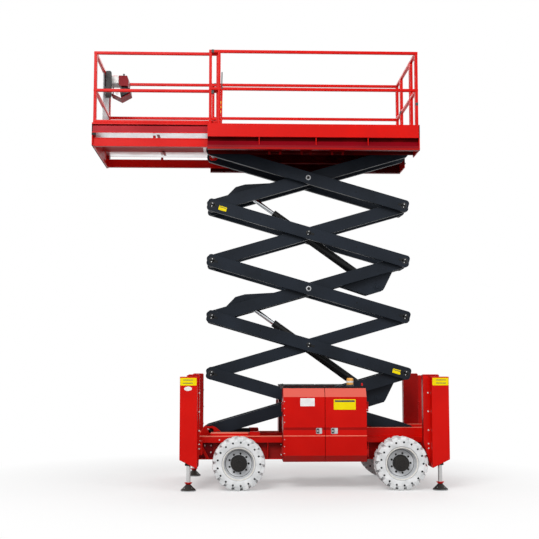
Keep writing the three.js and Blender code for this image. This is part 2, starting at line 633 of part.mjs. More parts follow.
/** Fixed deck with its side channels, toe boards, cross ribs and roller tracks. */
function mainDeck() {
  const span = [DECK_FRONT_X, DECK_REAR_X];
  const plate = block(span, [-DECK_HALF + 60, DECK_HALF - 60], [DECK_UNDER, DECK_TOP]);
  const ribs = [-1400, -900, -300, 300, 900].map((x) =>
    bothSides((side) => block([x, x + 40], across(side, 345, 735), [DECK_TOP - RIB_DEPTH, DECK_UNDER + 5])));
  // The rear plate is open below the deck between the tracks, where the folded arms pass under it.
  const end = [DECK_REAR_X - END_PLATE, DECK_REAR_X];
  const rearPlate = join(
    block(end, [-DECK_HALF, DECK_HALF], [DECK_UNDER, DECK_TOP + TOE_HEIGHT]),
    bothSides((side) =>
      block(end, across(side, ROLLER_Y[1] + 8, DECK_HALF), [CHANNEL_BOTTOM, DECK_UNDER + 5])),
  );
  const toeBoards = bothSides((side) => block(
    span,
    across(side, DECK_HALF - TOE_BOARD, DECK_HALF),
    [DECK_TOP - RIB_DEPTH, DECK_TOP + TOE_HEIGHT],
  ));
  const channels = bothSides(sideChannel);
  return join(plate, ribs, channels, rearPlate, toeBoards, bothSides(deckTrack), bothSides(deckLug));
}

place("main_deck", mainDeck(), RED);

// ------------------------------------------------------------------- guard rails
const HALF_TUBE = TUBE / 2;
const RAIL_FOOT = DECK_TOP + SEAT;
const TOP_RAIL_Z = DECK_TOP + RAIL_HEIGHT;
const MID_RAIL_Z = DECK_TOP + MID_RAIL_HEIGHT;
const MAIN_RAIL_Y = DECK_HALF - TOE_BOARD - SEAT - HALF_TUBE;
const MAIN_RAIL_X = [DECK_FRONT_X + 15, DECK_REAR_X - END_PLATE - SEAT];
const MAIN_POSTS = [MAIN_RAIL_X[0] + HALF_TUBE, MAIN_RAIL_X[0] + 130, MAIN_RAIL_X[1] - HALF_TUBE];

/** Square tubes along Y or X at the given heights of their upper edges. */
const tubes = (x, y, heights) => heights.map((z) => block(x, y, [z - TUBE, z]));

/** A flat guard rail along X: upright posts and level tubes. */
function sideRail(y, span, posts, foot, heights) {
  const wide = [y - HALF_TUBE, y + HALF_TUBE];
  const head = Math.max(...heights) - 5;
  const uprights = posts.map((x) => block([x - HALF_TUBE, x + HALF_TUBE], wide, [foot, head]));
  return join(uprights, tubes(span, wide, heights));
}

/** A flat guard rail along Y. */
function crossRail(x, span, posts, foot, heights) {
  const deep = [x - HALF_TUBE, x + HALF_TUBE];
  const head = Math.max(...heights) - 5;
  const uprights = posts.map((y) => block(deep, [y - HALF_TUBE, y + HALF_TUBE], [foot, head]));
  return join(uprights, tubes(deep, span, heights));
}

// Entry gate: hinged on the left rear rail, it opens over the deck.
const GATE_HALF = 390; // half the width of the gate's opening
const GATE_GAP = 8;
const GATE_PIN = 8;
const REAR_RAIL_X = MAIN_RAIL_X[1] - HALF_TUBE;
const REAR_RAIL_OUTER = MAIN_RAIL_Y - HALF_TUBE - SEAT;
const GATE_AXIS = [REAR_RAIL_X, -GATE_HALF + 16];
const GATE_HINGE_Z = [DECK_TOP + 300, DECK_TOP + 850];
const GATE_SPAN = [GATE_AXIS[1] + 26, GATE_HALF - GATE_GAP];

/** Hinge pins that the left rear rail carries for the gate. */
function gatePins() {
  return join(GATE_HINGE_Z.map((z) => {
    const ears = [z - 56, z + 40].map((low) => block(
      [REAR_RAIL_X - 10, REAR_RAIL_X + 10],
      [-GATE_HALF - 2, GATE_AXIS[1] + 9],
      [low, low + 16],
    ));
    return join(ears, bar(GATE_PIN, "z", [z - 45, z + 45], GATE_AXIS, 16));
  }));
}

/** Gate frame with knuckles around the hinge pins. */
function entryGate() {
  const posts = [GATE_SPAN[0] + HALF_TUBE, GATE_SPAN[1] - HALF_TUBE];
  const foot = RAIL_FOOT + 40;
  const frame = crossRail(REAR_RAIL_X, GATE_SPAN, posts, foot, [TOP_RAIL_Z, MID_RAIL_Z, foot + TUBE]);
  const knuckles = GATE_HINGE_Z.map((z) => {
    const tube = bar(GATE_PIN + 5, "z", [z - 33, z + 33], GATE_AXIS, 16);
    const strap = block(
      [REAR_RAIL_X - 6, REAR_RAIL_X + 6],
      [GATE_AXIS[1], GATE_SPAN[0] + 10],
      [z - 33, z + 33],
    );
    const bore = bar(GATE_PIN + PIN_PLAY, "z", [z - 60, z + 60], GATE_AXIS, 16);
    return join(tube, strap).subtract(bore);
  });
  return join(frame, knuckles);
}

for (const [hand, side] of Object.entries(SIDES)) {
  const heights = [TOP_RAIL_Z, MID_RAIL_Z];
  place(`deck_rail_${hand}`, sideRail(side * MAIN_RAIL_Y, MAIN_RAIL_X, MAIN_POSTS, RAIL_FOOT, heights), RED);
  const posts = [side * (GATE_HALF + HALF_TUBE), side * (REAR_RAIL_OUTER - HALF_TUBE)];
  const rear = crossRail(REAR_RAIL_X, across(side, GATE_HALF, REAR_RAIL_OUTER), posts, RAIL_FOOT, heights);
  place(`rear_rail_${hand}`, side < 0 ? join(rear, gatePins()) : rear, RED);
}
place("entry_gate", entryGate(), RED);

// ------------------------------------------------------------- extension deck
const FLOOR = [DECK_TOP + RUNNING + 2, DECK_TOP + RUNNING + 12];
const BEAM_Z = [DECK_TOP - 160, DECK_TOP - RIB_DEPTH - RUNNING - 3];
const EXTENSION_TOE = DECK_TOP + TOE_HEIGHT + 12;
const GLIDE = 0.5; // gap under the pads that the sliding floor runs on

/** Sliding deck: floor over the main deck, beams under it, and a flanged plate across the front. */
function extensionDeck() {
  const reach = [EXTENSION_FRONT_X, EXTENSION_TAIL_X];
  const floor = block(reach, [-EXTENSION_HALF, EXTENSION_HALF], FLOOR);
  const frontPlate = block(
    [EXTENSION_FRONT_X, EXTENSION_FRONT_X + END_PLATE],
    [-EXTENSION_HALF, EXTENSION_HALF],
    [BEAM_Z[0], EXTENSION_TOE],
  );
  const sides = bothSides((side) => join(
    block(reach, across(side, EXTENSION_HALF - TOE_BOARD, EXTENSION_HALF), [FLOOR[0], EXTENSION_TOE]),
    block([EXTENSION_FRONT_X, BEAM_TAIL_X], across(side, ...BEAM_Y), BEAM_Z),
    block([-1340, EXTENSION_TAIL_X], across(side, 480, 560), [DECK_TOP + GLIDE, FLOOR[1]]),
  ));
  const frontFlange = block(
    [EXTENSION_FRONT_X, EXTENSION_FRONT_X + END_PLATE + 16],
    [-EXTENSION_HALF, EXTENSION_HALF],
    [BEAM_Z[0], BEAM_Z[0] + 8],
  );
  return join(floor, frontPlate, frontFlange, sides);
}

const EXTENSION_RAIL_Y = EXTENSION_HALF - TOE_BOARD - SEAT - HALF_TUBE;
const EXTENSION_RAIL_X = [EXTENSION_FRONT_X + END_PLATE + SEAT, -1270];
const FRONT_RAIL_X = EXTENSION_RAIL_X[0] + HALF_TUBE;
const FRONT_RAIL_HALF = EXTENSION_RAIL_Y - HALF_TUBE - SEAT;
const EXTENSION_HEIGHTS = [TOP_RAIL_Z - 20, MID_RAIL_Z - 20, EXTENSION_TOE + TUBE];

place("extension_deck", extensionDeck(), RED);
for (const [hand, side] of Object.entries(SIDES)) {
  const posts = [EXTENSION_RAIL_X[0] + HALF_TUBE, EXTENSION_RAIL_X[1] - HALF_TUBE];
  const foot = FLOOR[1] + SEAT;
  const frame = sideRail(side * EXTENSION_RAIL_Y, EXTENSION_RAIL_X, posts, foot, EXTENSION_HEIGHTS);
  place(`extension_rail_${hand}`, frame, RED);
}
const FRONT_POSTS = [-1, 0, 1].map((step) => step * (FRONT_RAIL_HALF - HALF_TUBE));
const FRONT_SPAN = [-FRONT_RAIL_HALF, FRONT_RAIL_HALF];
const FRONT_FOOT = FLOOR[1] + SEAT;
const frontRail = crossRail(FRONT_RAIL_X, FRONT_SPAN, FRONT_POSTS, FRONT_FOOT, EXTENSION_HEIGHTS);
place("extension_rail_front", frontRail, RED);

// ---------------------------------------------------- what the front rail carries
const RAIL_FACE = FRONT_RAIL_X + HALF_TUBE + SEAT;

/** Operator's control box on two brackets from the front rail. */
function controlBox() {
  const y = [290, 560];
  const z = TOP_RAIL_Z - 20;
  const casing = [
    [145, z - 10], [145, z - 130], [170, z - 150], [310, z - 150], [310, z - 60], [275, z - 10],
  ];
  const panel = [[155, z - 160], [190, z - 300], [335, z - 260], [310, z - 140], [155, z - 140]];
  const along = (points) => points.map(([u, v]) => [RAIL_FACE + u, v]);
  const brackets = [310, 510].map((low) =>
    block([RAIL_FACE, RAIL_FACE + 165], [low, low + 20], [z - 36, z - 12]));
  return join(prism(along(casing), "y", y), prism(along(panel), "y", [y[0] + 15, y[1] - 15]), brackets);
}

/** Flat holder for papers, with rounded ends, hung on the front rail. */
function documentHolder() {
  const y = [110, 250];
  const radius = (y[1] - y[0]) / 2;
  const middle = (y[0] + y[1]) / 2;
  const top = TOP_RAIL_Z - 4;
  const depth = [RAIL_FACE, RAIL_FACE + 70];
  const body = block(depth, y, [top - 380 + radius, top - radius]);
  const ends = [top - radius, top - 380 + radius].map((z) => bar(radius, "x", depth, [middle, z]));
  return join(body, ends);
}

place("control_box", controlBox(), RED);
place("document_holder", documentHolder(), BLACK);

model.position.x = -MIDDLE_X;
export default model;
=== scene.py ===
"""Looks of a self-propelled scissor lift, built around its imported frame.

Sizes are millimetres from the middle between the axles, on the ground, until a shape
becomes an object: +Z up, +X towards the entry gate, -Y towards the machine's left side.
"""
import sys
import logging
import math
from collections.abc import Iterable, Sequence
from dataclasses import dataclass
from enum import Enum

import bmesh
import bpy
from mathutils import Matrix, Vector


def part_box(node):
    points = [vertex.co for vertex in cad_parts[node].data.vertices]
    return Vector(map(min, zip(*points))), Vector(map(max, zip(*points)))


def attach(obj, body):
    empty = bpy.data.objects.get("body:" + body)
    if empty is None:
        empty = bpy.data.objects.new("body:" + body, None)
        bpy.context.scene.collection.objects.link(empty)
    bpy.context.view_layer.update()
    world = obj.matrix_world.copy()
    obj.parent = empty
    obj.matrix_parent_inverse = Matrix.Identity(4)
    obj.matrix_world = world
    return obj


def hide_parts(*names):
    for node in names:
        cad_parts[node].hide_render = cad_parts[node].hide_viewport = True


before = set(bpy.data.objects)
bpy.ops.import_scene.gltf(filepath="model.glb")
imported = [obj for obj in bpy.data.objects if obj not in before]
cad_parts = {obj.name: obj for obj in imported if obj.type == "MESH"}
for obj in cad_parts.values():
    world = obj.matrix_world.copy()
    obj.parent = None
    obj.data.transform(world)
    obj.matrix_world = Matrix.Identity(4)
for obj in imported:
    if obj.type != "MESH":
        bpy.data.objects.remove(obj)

LOG = logging.getLogger("scissor_lift")
MM = 0.001
HALF_WHEEL_BASE = 1005.0
# From the frame's origin to the middle between the axles, where the forms' own axes stand.
HOME_X = (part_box("rear_axle")[0].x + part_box("rear_axle")[1].x) / 2 / MM - HALF_WHEEL_BASE
HOME = Matrix.Translation((HOME_X, 0, 0))
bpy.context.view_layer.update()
Span = Sequence[float]
Point2 = tuple[float, float]
Colour = tuple[float, float, float, float]
Socket = bpy.types.NodeSocket
Tree = bpy.types.NodeTree
SHARP = math.radians(33)
COAT_ROUGHNESS = 0.12


class Hand(Enum):
    """Side of the machine, with its sign along Y."""

    LEFT = -1
    RIGHT = 1

    @property
    def word(self) -> str:
        """Name of the side in node names."""
        return self.name.lower()


class End(Enum):
    """End of the machine, with the sign of the way back to its middle."""

    FRONT = 1
    REAR = -1

    @property
    def word(self) -> str:
        """Name of the end in node names."""
        return self.name.lower()


class Way(Enum):
    """Axis that a form is pushed or turned along."""

    X = 0
    Y = 1
    Z = 2


@dataclass(frozen=True)
class Limits:
    """Lowest and highest values of a node along each axis, in the forms' own axes."""

    x: Point2
    y: Point2
    z: Point2

    @classmethod
    def of(cls, node: str) -> "Limits":
        """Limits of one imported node.

        Args:
            node: The node's name.

        Returns:
            Its limits at rest.
        """
        low, high = (corner / MM - Vector((HOME_X, 0, 0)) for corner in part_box(node))
        return cls(*zip(low, high))

    @property
    def centre(self) -> Vector:
        """Middle of the node."""
        return Vector([(a + b) / 2 for a, b in (self.x, self.y, self.z)])


# ------------------------------------------------------------------------- finishes
def linear(rgb: Sequence[int]) -> Colour:
    """Screen colour from 0 to 255 as a linear shader colour.

    Args:
        rgb: Red, green and blue.

    Returns:
        The linear colour with full alpha.
    """
    parts = [v / 255 for v in rgb]
    return (*(p / 12.92 if p <= 0.04045 else ((p + 0.055) / 1.055) ** 2.4 for p in parts), 1.0)


def noise(tree: Tree, place: Socket, scale: float, detail: float) -> Socket:
    """Adds a noise texture.

    Args:
        tree: The material's nodes.
        place: The coordinates that it follows.
        scale: Noise cells in a metre.
        detail: Octaves.

    Returns:
        The noise's value.
    """
    made = tree.nodes.new("ShaderNodeTexNoise")
    made.inputs["Scale"].default_value = scale
    made.inputs["Detail"].default_value = detail
    tree.links.new(place, made.inputs["Vector"])
    return made.outputs["Fac"]


def ranged(tree: Tree, source: Socket, span: Point2, result: Point2) -> Socket:
    """Maps a value from one range to another.

    Args:
        tree: The nodes of a material.
        source: The value.
        span: The values that become the two results.
        result: The two results.

    Returns:
        The mapped value.
    """
    scaled = tree.nodes.new("ShaderNodeMapRange")
    for key, value in zip(("From Min", "From Max", "To Min", "To Max"), (*span, *result)):
        scaled.inputs[key].default_value = value
    tree.links.new(source, scaled.inputs["Value"])
    return scaled.outputs["Result"]


def mixed(tree: Tree, base: Socket | Colour, over: Sequence[int], share: Socket) -> Socket:
    """Mixes a second colour into a first one.

    Args:
        tree: The material's nodes.
        base: The first colour, as a socket or a linear colour.
        over: The second colour, from 0 to 255.
        share: How much of the second colour shows.

    Returns:
        The mixed colour.
    """
    mix = tree.nodes.new("ShaderNodeMix")
    mix.data_type = "RGBA"
    if isinstance(base, Socket):
        tree.links.new(base, mix.inputs["A"])
    else:
        mix.inputs["A"].default_value = base
    mix.inputs["B"].default_value = linear(over)
    tree.links.new(share, mix.inputs["Factor"])
    return mix.outputs["Result"]


def height_of(tree: Tree, vector: Socket) -> Socket:
    """Adds a split of a vector.

    Args:
        tree: The material's nodes.
        vector: The vector.

    Returns:
        Its part along Z.
    """
    split = tree.nodes.new("ShaderNodeSeparateXYZ")
    tree.links.new(vector, split.inputs["Vector"])
    return split.outputs["Z"]


@dataclass(frozen=True)
class Finish:
    """A surface: its colour, the patches it drifts to, its gloss and its fine grain."""

    name: str
    colour: tuple[int, int, int]
    tint: tuple[int, int, int]
    patch: float = 2.5
    roughness: float = 0.35
    spread: float = 0.12
    metallic: float = 0.0
    coat: float = 0.0
    specular: float = 0.2
    # Painted highlight: how far upward-facing faces are mixed towards a paler colour, for light from above.
    fade: float = 0.0
    fade_colour: tuple[int, int, int] = (250, 160, 140)
    grain: float = 420.0
    bump: float = 0.04
    dust: float = 0.0
    dust_colour: tuple[int, int, int] = (150, 138, 126)

    def material(self) -> bpy.types.Material:
        """Builds the node material once and hands the same one back afterwards.

        Returns:
            The material.
        """
        if self.name in bpy.data.materials:
            return bpy.data.materials[self.name]
        made = bpy.data.materials.new(self.name)
        made.use_nodes = True
        tree = made.node_tree
        shader = tree.nodes["Principled BSDF"]
        for key, value in (("Metallic", self.metallic), ("Coat Weight", self.coat),
                           ("Coat Roughness", COAT_ROUGHNESS), ("Specular IOR Level", self.specular)):
            shader.inputs[key].default_value = value
        place = tree.nodes.new("ShaderNodeTexCoord").outputs["Object"]
        patches = noise(tree, place, self.patch, 4.0)
        fine = noise(tree, place, self.grain, 3.0)
        colour = mixed(tree, linear(self.colour), self.tint,
                       ranged(tree, patches, (0.35, 0.65), (0.0, 1.0)))
        if self.dust:
            colour = self._dusted(tree, place, patches, colour)
        # Upward-facing faces are painted paler: a painted highlight for light falling from above.
        if self.fade:
            normal = tree.nodes.new("ShaderNodeNewGeometry").outputs["Normal"]
            top_light_share = ranged(tree, height_of(tree, normal), (0.25, 0.8), (0.0, self.fade))
            colour = mixed(tree, colour, self.fade_colour, top_light_share)
        tree.links.new(colour, shader.inputs["Base Color"])
        gloss = (self.roughness - self.spread / 2, self.roughness + self.spread / 2)
        tree.links.new(ranged(tree, patches, (0.3, 0.7), gloss), shader.inputs["Roughness"])
        bump = tree.nodes.new("ShaderNodeBump")
        bump.inputs["Strength"].default_value = self.bump
        bump.inputs["Distance"].default_value = 0.001
        tree.links.new(fine, bump.inputs["Height"])
        tree.links.new(bump.outputs["Normal"], shader.inputs["Normal"])
        return made

    def _dusted(self, tree: Tree, place: Socket, patches: Socket, colour: Socket) -> Socket:
        """Lays dust over the colour near the ground, thicker in patches.

        Args:
            tree: The material's nodes.
            place: The object's own coordinates.
            patches: The noise that breaks the dust up.
            colour: The colour.

        Returns:
            The dusted colour.
        """
        amount = tree.nodes.new("ShaderNodeMath")
        amount.operation = "MULTIPLY"
        tree.links.new(ranged(tree, height_of(tree, place), (0.75, 0.05), (0.0, self.dust)),
                       amount.inputs[0])
        tree.links.new(ranged(tree, patches, (0.35, 0.7), (0.2, 1.0)), amount.inputs[1])
        return mixed(tree, colour, self.dust_colour, amount.outputs["Value"])


RED = Finish("red_enamel", (213, 14, 4), (203, 10, 3), roughness=0.34, specular=0.13)
# Door red whose upward-facing faces are painted paler: a painted highlight from the light above.
TOP_LIT_RED = Finish("top_lit_red_enamel", (210, 13, 3), (200, 9, 2), roughness=0.34, specular=0.13, fade=0.55)
# Pale pink strips along lit top edges and the door's fold: painted highlight.
HIGHLIGHT_RED = Finish("chalked_red_enamel", (252, 142, 120), (242, 122, 100), roughness=0.5, specular=0.12)
# Dark wine red: painted shade over the deck's side channels; also used on the control box casing and a
# patch of the rail web.
WINE_AND_SHADE = Finish("wine_enamel", (134, 8, 22), (118, 6, 18), roughness=0.42, specular=0.1)
# Near-black red on undersides, recesses, slots and the parts under the deck: painted shade.
SHADE_RED = Finish("painted_shade_red_enamel", (84, 5, 5), (58, 4, 4), patch=5, roughness=0.85, specular=0.02)
DEEP_RED = Finish("deep_red_enamel", (168, 8, 5), (150, 6, 4), roughness=0.38, specular=0.12, dust=0.12)
# Darker crimson on the sliding deck's toe boards: painted shade.
SHADE_CRIMSON = Finish("crimson_enamel", (172, 8, 28), (156, 6, 22), roughness=0.36, specular=0.14)
ARM_ENAMEL = Finish("arm_enamel", (32, 38, 47), (25, 30, 37), roughness=0.44, spread=0.16, specular=0.11)
BLACK = Finish("black_enamel", (18, 19, 21), (12, 13, 14), roughness=0.45, dust=0.12)
ENGINE = Finish("engine_casting", (40, 41, 43), (28, 28, 30), roughness=0.6, bump=0.2, grain=180)
ROD = Finish("rod_chrome", (214, 217, 220), (196, 200, 204), roughness=0.14, spread=0.06, metallic=1.0)
LEG = Finish("leg_chrome", (206, 207, 208), (180, 180, 180), roughness=0.2, metallic=1.0, dust=0.3)
ZINC = Finish("zinc_bolts", (214, 216, 216), (184, 186, 186), patch=30, roughness=0.3, metallic=0.85)
TYRE = Finish("pale_tyre_rubber", (240, 241, 242), (214, 216, 217), patch=9, roughness=0.78, bump=0.25)
# Dark grey in the tyre's hollows, between its lugs and in a ring on the rim face: painted shade. Also the
# ring behind the arms' pin heads.
SHADE_GREY = Finish("shade_grey_rubber", (70, 70, 72), (48, 48, 50), roughness=0.85, bump=0.2)
RIM = Finish("rim_enamel", (226, 228, 230), (210, 212, 215), patch=6, roughness=0.45)
AMBER = Finish("amber_lens", (240, 110, 20), (222, 78, 10), patch=20, roughness=0.16, coat=0.6)
WHITE = Finish("white_lens", (238, 236, 230), (224, 220, 212), patch=20, roughness=0.2, coat=0.5)
PLASTIC = Finish("black_plastic", (20, 20, 23), (14, 14, 17), patch=12, roughness=0.5, specular=0.08,
                 bump=0.12)
GREY = Finish("grey_plastic", (196, 198, 200), (176, 178, 181), patch=12, roughness=0.5, bump=0.1)
YELLOW = Finish("yellow_plate", (248, 226, 10), (240, 214, 4), patch=9, roughness=0.4, specular=0.1)
PLATE = Finish("white_plate", (244, 244, 242), (230, 230, 228), patch=9, roughness=0.35)
DECK = Finish("deck_plate", (248, 249, 250), (240, 241, 243), patch=5, roughness=0.34, metallic=0.9,
              bump=0.06)
RUBBER = Finish("seal_rubber", (18, 18, 19), (12, 12, 13), patch=14, roughness=0.8, bump=0.15)


# --------------------------------------------------------------------------- shapes
def placed(name: str, data: bpy.types.ID) -> bpy.types.Object:
    """Makes an object and puts it in the scene.

    Args:
        name: Its name.
        data: Its mesh, camera or light.

    Returns:
        The object.
    """
    made = bpy.data.objects.new(name, data)
    bpy.context.scene.collection.objects.link(made)
    return made


class Shape:
    """Closed forms gathered into one mesh, in millimetres, each face with a finish."""

    def __init__(self) -> None:
        """Starts an empty shape."""
        self.mesh = bmesh.new()
        self.finishes: list[Finish] = []
        self.tone = 0
        self.axes = HOME

    def use(self, finish: Finish, axes: Matrix | None = None) -> "Shape":
        """Chooses the finish, and if given the axes, of the forms that follow.

        Args:
            finish: The finish.
            axes: Local axes of the forms; None keeps those in use.

        Returns:
            The shape itself.
        """
        if finish not in self.finishes:
            self.finishes.append(finish)
        self.tone = self.finishes.index(finish)
        if axes is not None:
            self.axes = axes
        return self

    def loft(self, rings: Sequence[Sequence[Vector]], around: bool = False) -> None:
        """Skins a closed form over rings of points; a ring of one point closes a tip.

        Args:
            rings: The rings, in order.
            around: Whether the last ring joins the first, in place of two caps.
        """
        made = [[self.mesh.verts.new(self.axes @ Vector(p)) for p in ring] for ring in rings]
        pairs = list(zip(made, made[1:]))
        if around:
            pairs.append((made[-1], made[0]))
        faces = []
        for low, high in pairs:
            count = max(len(low), len(high))
            for i in range(count):
                corners = [low[i % len(low)], low[(i + 1) % len(low)], high[(i + 1) % len(high)],
                           high[i % len(high)]]
                faces.append(list(dict.fromkeys(corners)))
        if not around:
            faces += [ring for ring in (made[0], made[-1]) if len(ring) > 2]
        for corners in faces:
            face = self.mesh.faces.new(corners)
            face.material_index = self.tone
            face.smooth = True

    def prism(self, outline: Iterable[Point2], way: Way, span: Span) -> None:
        """Pushes an outline along an axis: (y, z) for X, (x, z) for Y, (x, y) for Z.

        Args:
            outline: The outline's corners.
            way: The axis.
            span: Where it starts and ends along the axis.
        """
        corners = list(outline)
        self.loft([[self._point(way, u, v, a) for u, v in corners] for a in span])

    @staticmethod
    def _point(way: Way, u: float, v: float, along: float) -> Vector:
        """Point from two coordinates across an axis and one along it."""
        return Vector({Way.X: (along, u, v), Way.Y: (u, along, v), Way.Z: (u, v, along)}[way])

    def block(self, x: Span, y: Span, z: Span) -> None:
        """Adds a box from its limits, in any order."""
        self.prism([(x[0], y[0]), (x[1], y[0]), (x[1], y[1]), (x[0], y[1])], Way.Z, z)

    def lathe(self, profile: Sequence[Point2], way: Way, at: Span, sides: int = 40) -> None:
        """Turns (radius, along) points about an axis.

        Args:
            profile: The points; a radius of 0 closes a tip, and an end like the start closes a ring.
            way: The axis.
            at: The axis's place across itself, and where along it 0 is.
            sides: Facets around.
        """
        ring_like = profile[0] == profile[-1]
        points = list(profile[:-1] if ring_like else profile)
        rings = []
        for radius, along in points:
            steps = 1 if radius == 0 else sides
            angles = [math.tau * i / sides for i in range(steps)]
            rings.append([self._point(way, at[0] + radius * math.cos(a), at[1] + radius * math.sin(a),
                                      at[2] + along) for a in angles])
        self.loft(rings, ring_like)

    def strip(self, side: int, section: Iterable[Point2], span: Span) -> None:
        """Pushes a section of (distance out, z) points along X on one side."""
        self.prism([(side * y, z) for y, z in section], Way.X, span)

    def cheek(self, outline: Iterable[Point2], side: int, *out: float) -> None:
        """Pushes an (x, z) outline between two distances out on one side."""
        self.prism(outline, Way.Y, offset(side, *out))

    def disc(self, radius: float, height: float, way: Way, at: Span, sides: int = 40) -> None:
        """Adds a flat round piece that stands on a surface."""
        self.lathe([(0, 0), (radius, 0), (radius, height), (0, height)], way, at, sides)

    def ring(self, inner: float, outer: float, span: Point2, way: Way, at: Span, sides: int = 40) -> None:
        """Adds a square-cut ring between two places along its axis."""
        low, high = span
        self.lathe([(inner, low), (outer, low), (outer, high), (inner, high), (inner, low)], way, at, sides)

    def bar(self, radius: float, way: Way, span: Span, at: Point2, sides: int = 40) -> None:
        """Adds a round bar along an axis at a place across it."""
        self.lathe([(radius, 0), (radius, span[1] - span[0])], way, (*at, span[0]), sides)

    def tube(self, points: Sequence[Span], radius: float, sides: int = 16) -> None:
        """Sweeps a round section along a path.

        Args:
            points: The path.
            radius: The section's radius.
            sides: Facets around.
        """
        path = [Vector(p) for p in points]
        side = Vector((0, 0, 1))
        rings = []
        for i, here in enumerate(path):
            heading = (path[min(i + 1, len(path) - 1)] - path[max(i - 1, 0)]).normalized()
            side = (side - heading * side.dot(heading))
            if side.length < 0.05:
                side = heading.orthogonal()
            side.normalize()
            other = heading.cross(side)
            rings.append([here + radius * (math.cos(a) * side + math.sin(a) * other)
                          for a in (math.tau * k / sides for k in range(sides))])
        self.loft(rings)

    def bolt(self, at: Span, way: Way, out: int, size: float = 9.0) -> None:
        """Adds a hexagon head on its washer.

        Args:
            at: Where it meets the surface.
            way: Axis that it points along.
            out: 1 or -1, the way it points.
            size: Radius of the head.
        """
        across = [at[i] for i in range(3) if i != way.value]
        place = (*across, at[way.value])
        self.disc(size * 1.45, out * 2.2, way, place, 24)
        top = out * (2 + size * 0.8)
        self.lathe([(0, out * 2), (size, out * 2), (size, top - out), (size * 0.86, top), (0, top)], way,
                   place, 6)

    def piece(self, name: str, body: str, slot: str, hides: Sequence[str] = (), soften: float = 2.0,
              segments: int = 2,) -> bpy.types.Object:
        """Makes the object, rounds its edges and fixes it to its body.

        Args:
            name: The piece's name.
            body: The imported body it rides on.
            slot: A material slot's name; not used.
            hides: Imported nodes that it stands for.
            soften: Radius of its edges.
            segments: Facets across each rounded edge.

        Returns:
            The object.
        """
        bmesh.ops.recalc_face_normals(self.mesh, faces=self.mesh.faces[:])
        bmesh.ops.scale(self.mesh, vec=(MM, MM, MM), verts=self.mesh.verts[:])
        data = bpy.data.meshes.new(name)
        self.mesh.to_mesh(data)
        self.mesh.free()
        for finish in self.finishes:
            data.materials.append(finish.material())
        made = placed(name, data)
        if soften:
            edges = made.modifiers.new("edges", "BEVEL")
            edges.width = soften * MM
            edges.segments = segments
            edges.limit_method = "ANGLE"
            edges.angle_limit = SHARP
            edges.harden_normals = True
        else:
            data.set_sharp_from_angle(angle=SHARP)
        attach(made, body)
        if hides:
            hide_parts(*hides)
        LOG.info("%s rides on %s, %d faces", name, body, len(data.polygons))
        return made


def offset(side: int, *values: float) -> list[float]:
    """Distances out from the middle as places on one side."""
    return [side * v for v in values]


def arc(centre: Point2, radius: float, start: float, stop: float, steps: int) -> list[Point2]:
    """Points on an arc.

    Args:
        centre: The arc's centre.
        radius: Its radius.
        start: First angle in degrees.
        stop: Last angle in degrees.
        steps: Number of chords.

    Returns:
        The points.
    """
    angles = [math.radians(start + (stop - start) * i / steps) for i in range(steps + 1)]
    return [(centre[0] + radius * math.cos(a), centre[1] + radius * math.sin(a)) for a in angles]


def rounded(low: Point2, high: Point2, radius: float) -> list[Point2]:
    """Corners of a rectangle with round corners.

    Args:
        low: Its lowest corner.
        high: Its highest corner.
        radius: Radius of the corners.

    Returns:
        The outline.
    """
    (u0, v0), (u1, v1) = low, high
    turns = (((u1, v1), 0, -1, -1), ((u0, v1), 90, 1, -1), ((u0, v0), 180, 1, 1), ((u1, v0), 270, -1, 1))
    return [point for (u, v), start, su, sv in turns
            for point in arc((u + su * radius, v + sv * radius), radius, start, start + 90, 5)]


def around(count: int, radius: float) -> list[Point2]:
    """Points spaced evenly on a circle about 0."""
    angles = [math.tau * i / count for i in range(count)]
    return [(radius * math.cos(a), radius * math.sin(a)) for a in angles]


def chequer(shape: Shape, x: Point2, edge: float, top: float, columns: int, rows: int) -> None:
    """Adds a tread plate with raised bars in two directions.

    Args:
        shape: The shape that takes it.
        x: Its ends.
        edge: Distance out to its sides.
        top: Height of the floor under it.
        columns: Bars along it.
        rows: Bars across it.
    """
    margin, long, short = 50, 22, 4
    shape.block(x, (-edge, edge), (top - 1, top + 1))
    for i in range(columns):
        for j in range(rows):
            u = x[0] + margin + (x[1] - x[0] - 2 * margin) * i / (columns - 1)
            v = -edge + margin + (2 * edge - 2 * margin) * j / (rows - 1)
            along, across = (long, short) if (i + j) % 2 else (short, long)
            shape.block((u - along, u + along), (v - across, v + across), (top + 0.5, top + 2.2))


HANDS = (Hand.LEFT, Hand.RIGHT)
SIDES = tuple(hand.value for hand in HANDS)
ENDS = (End.FRONT, End.REAR)


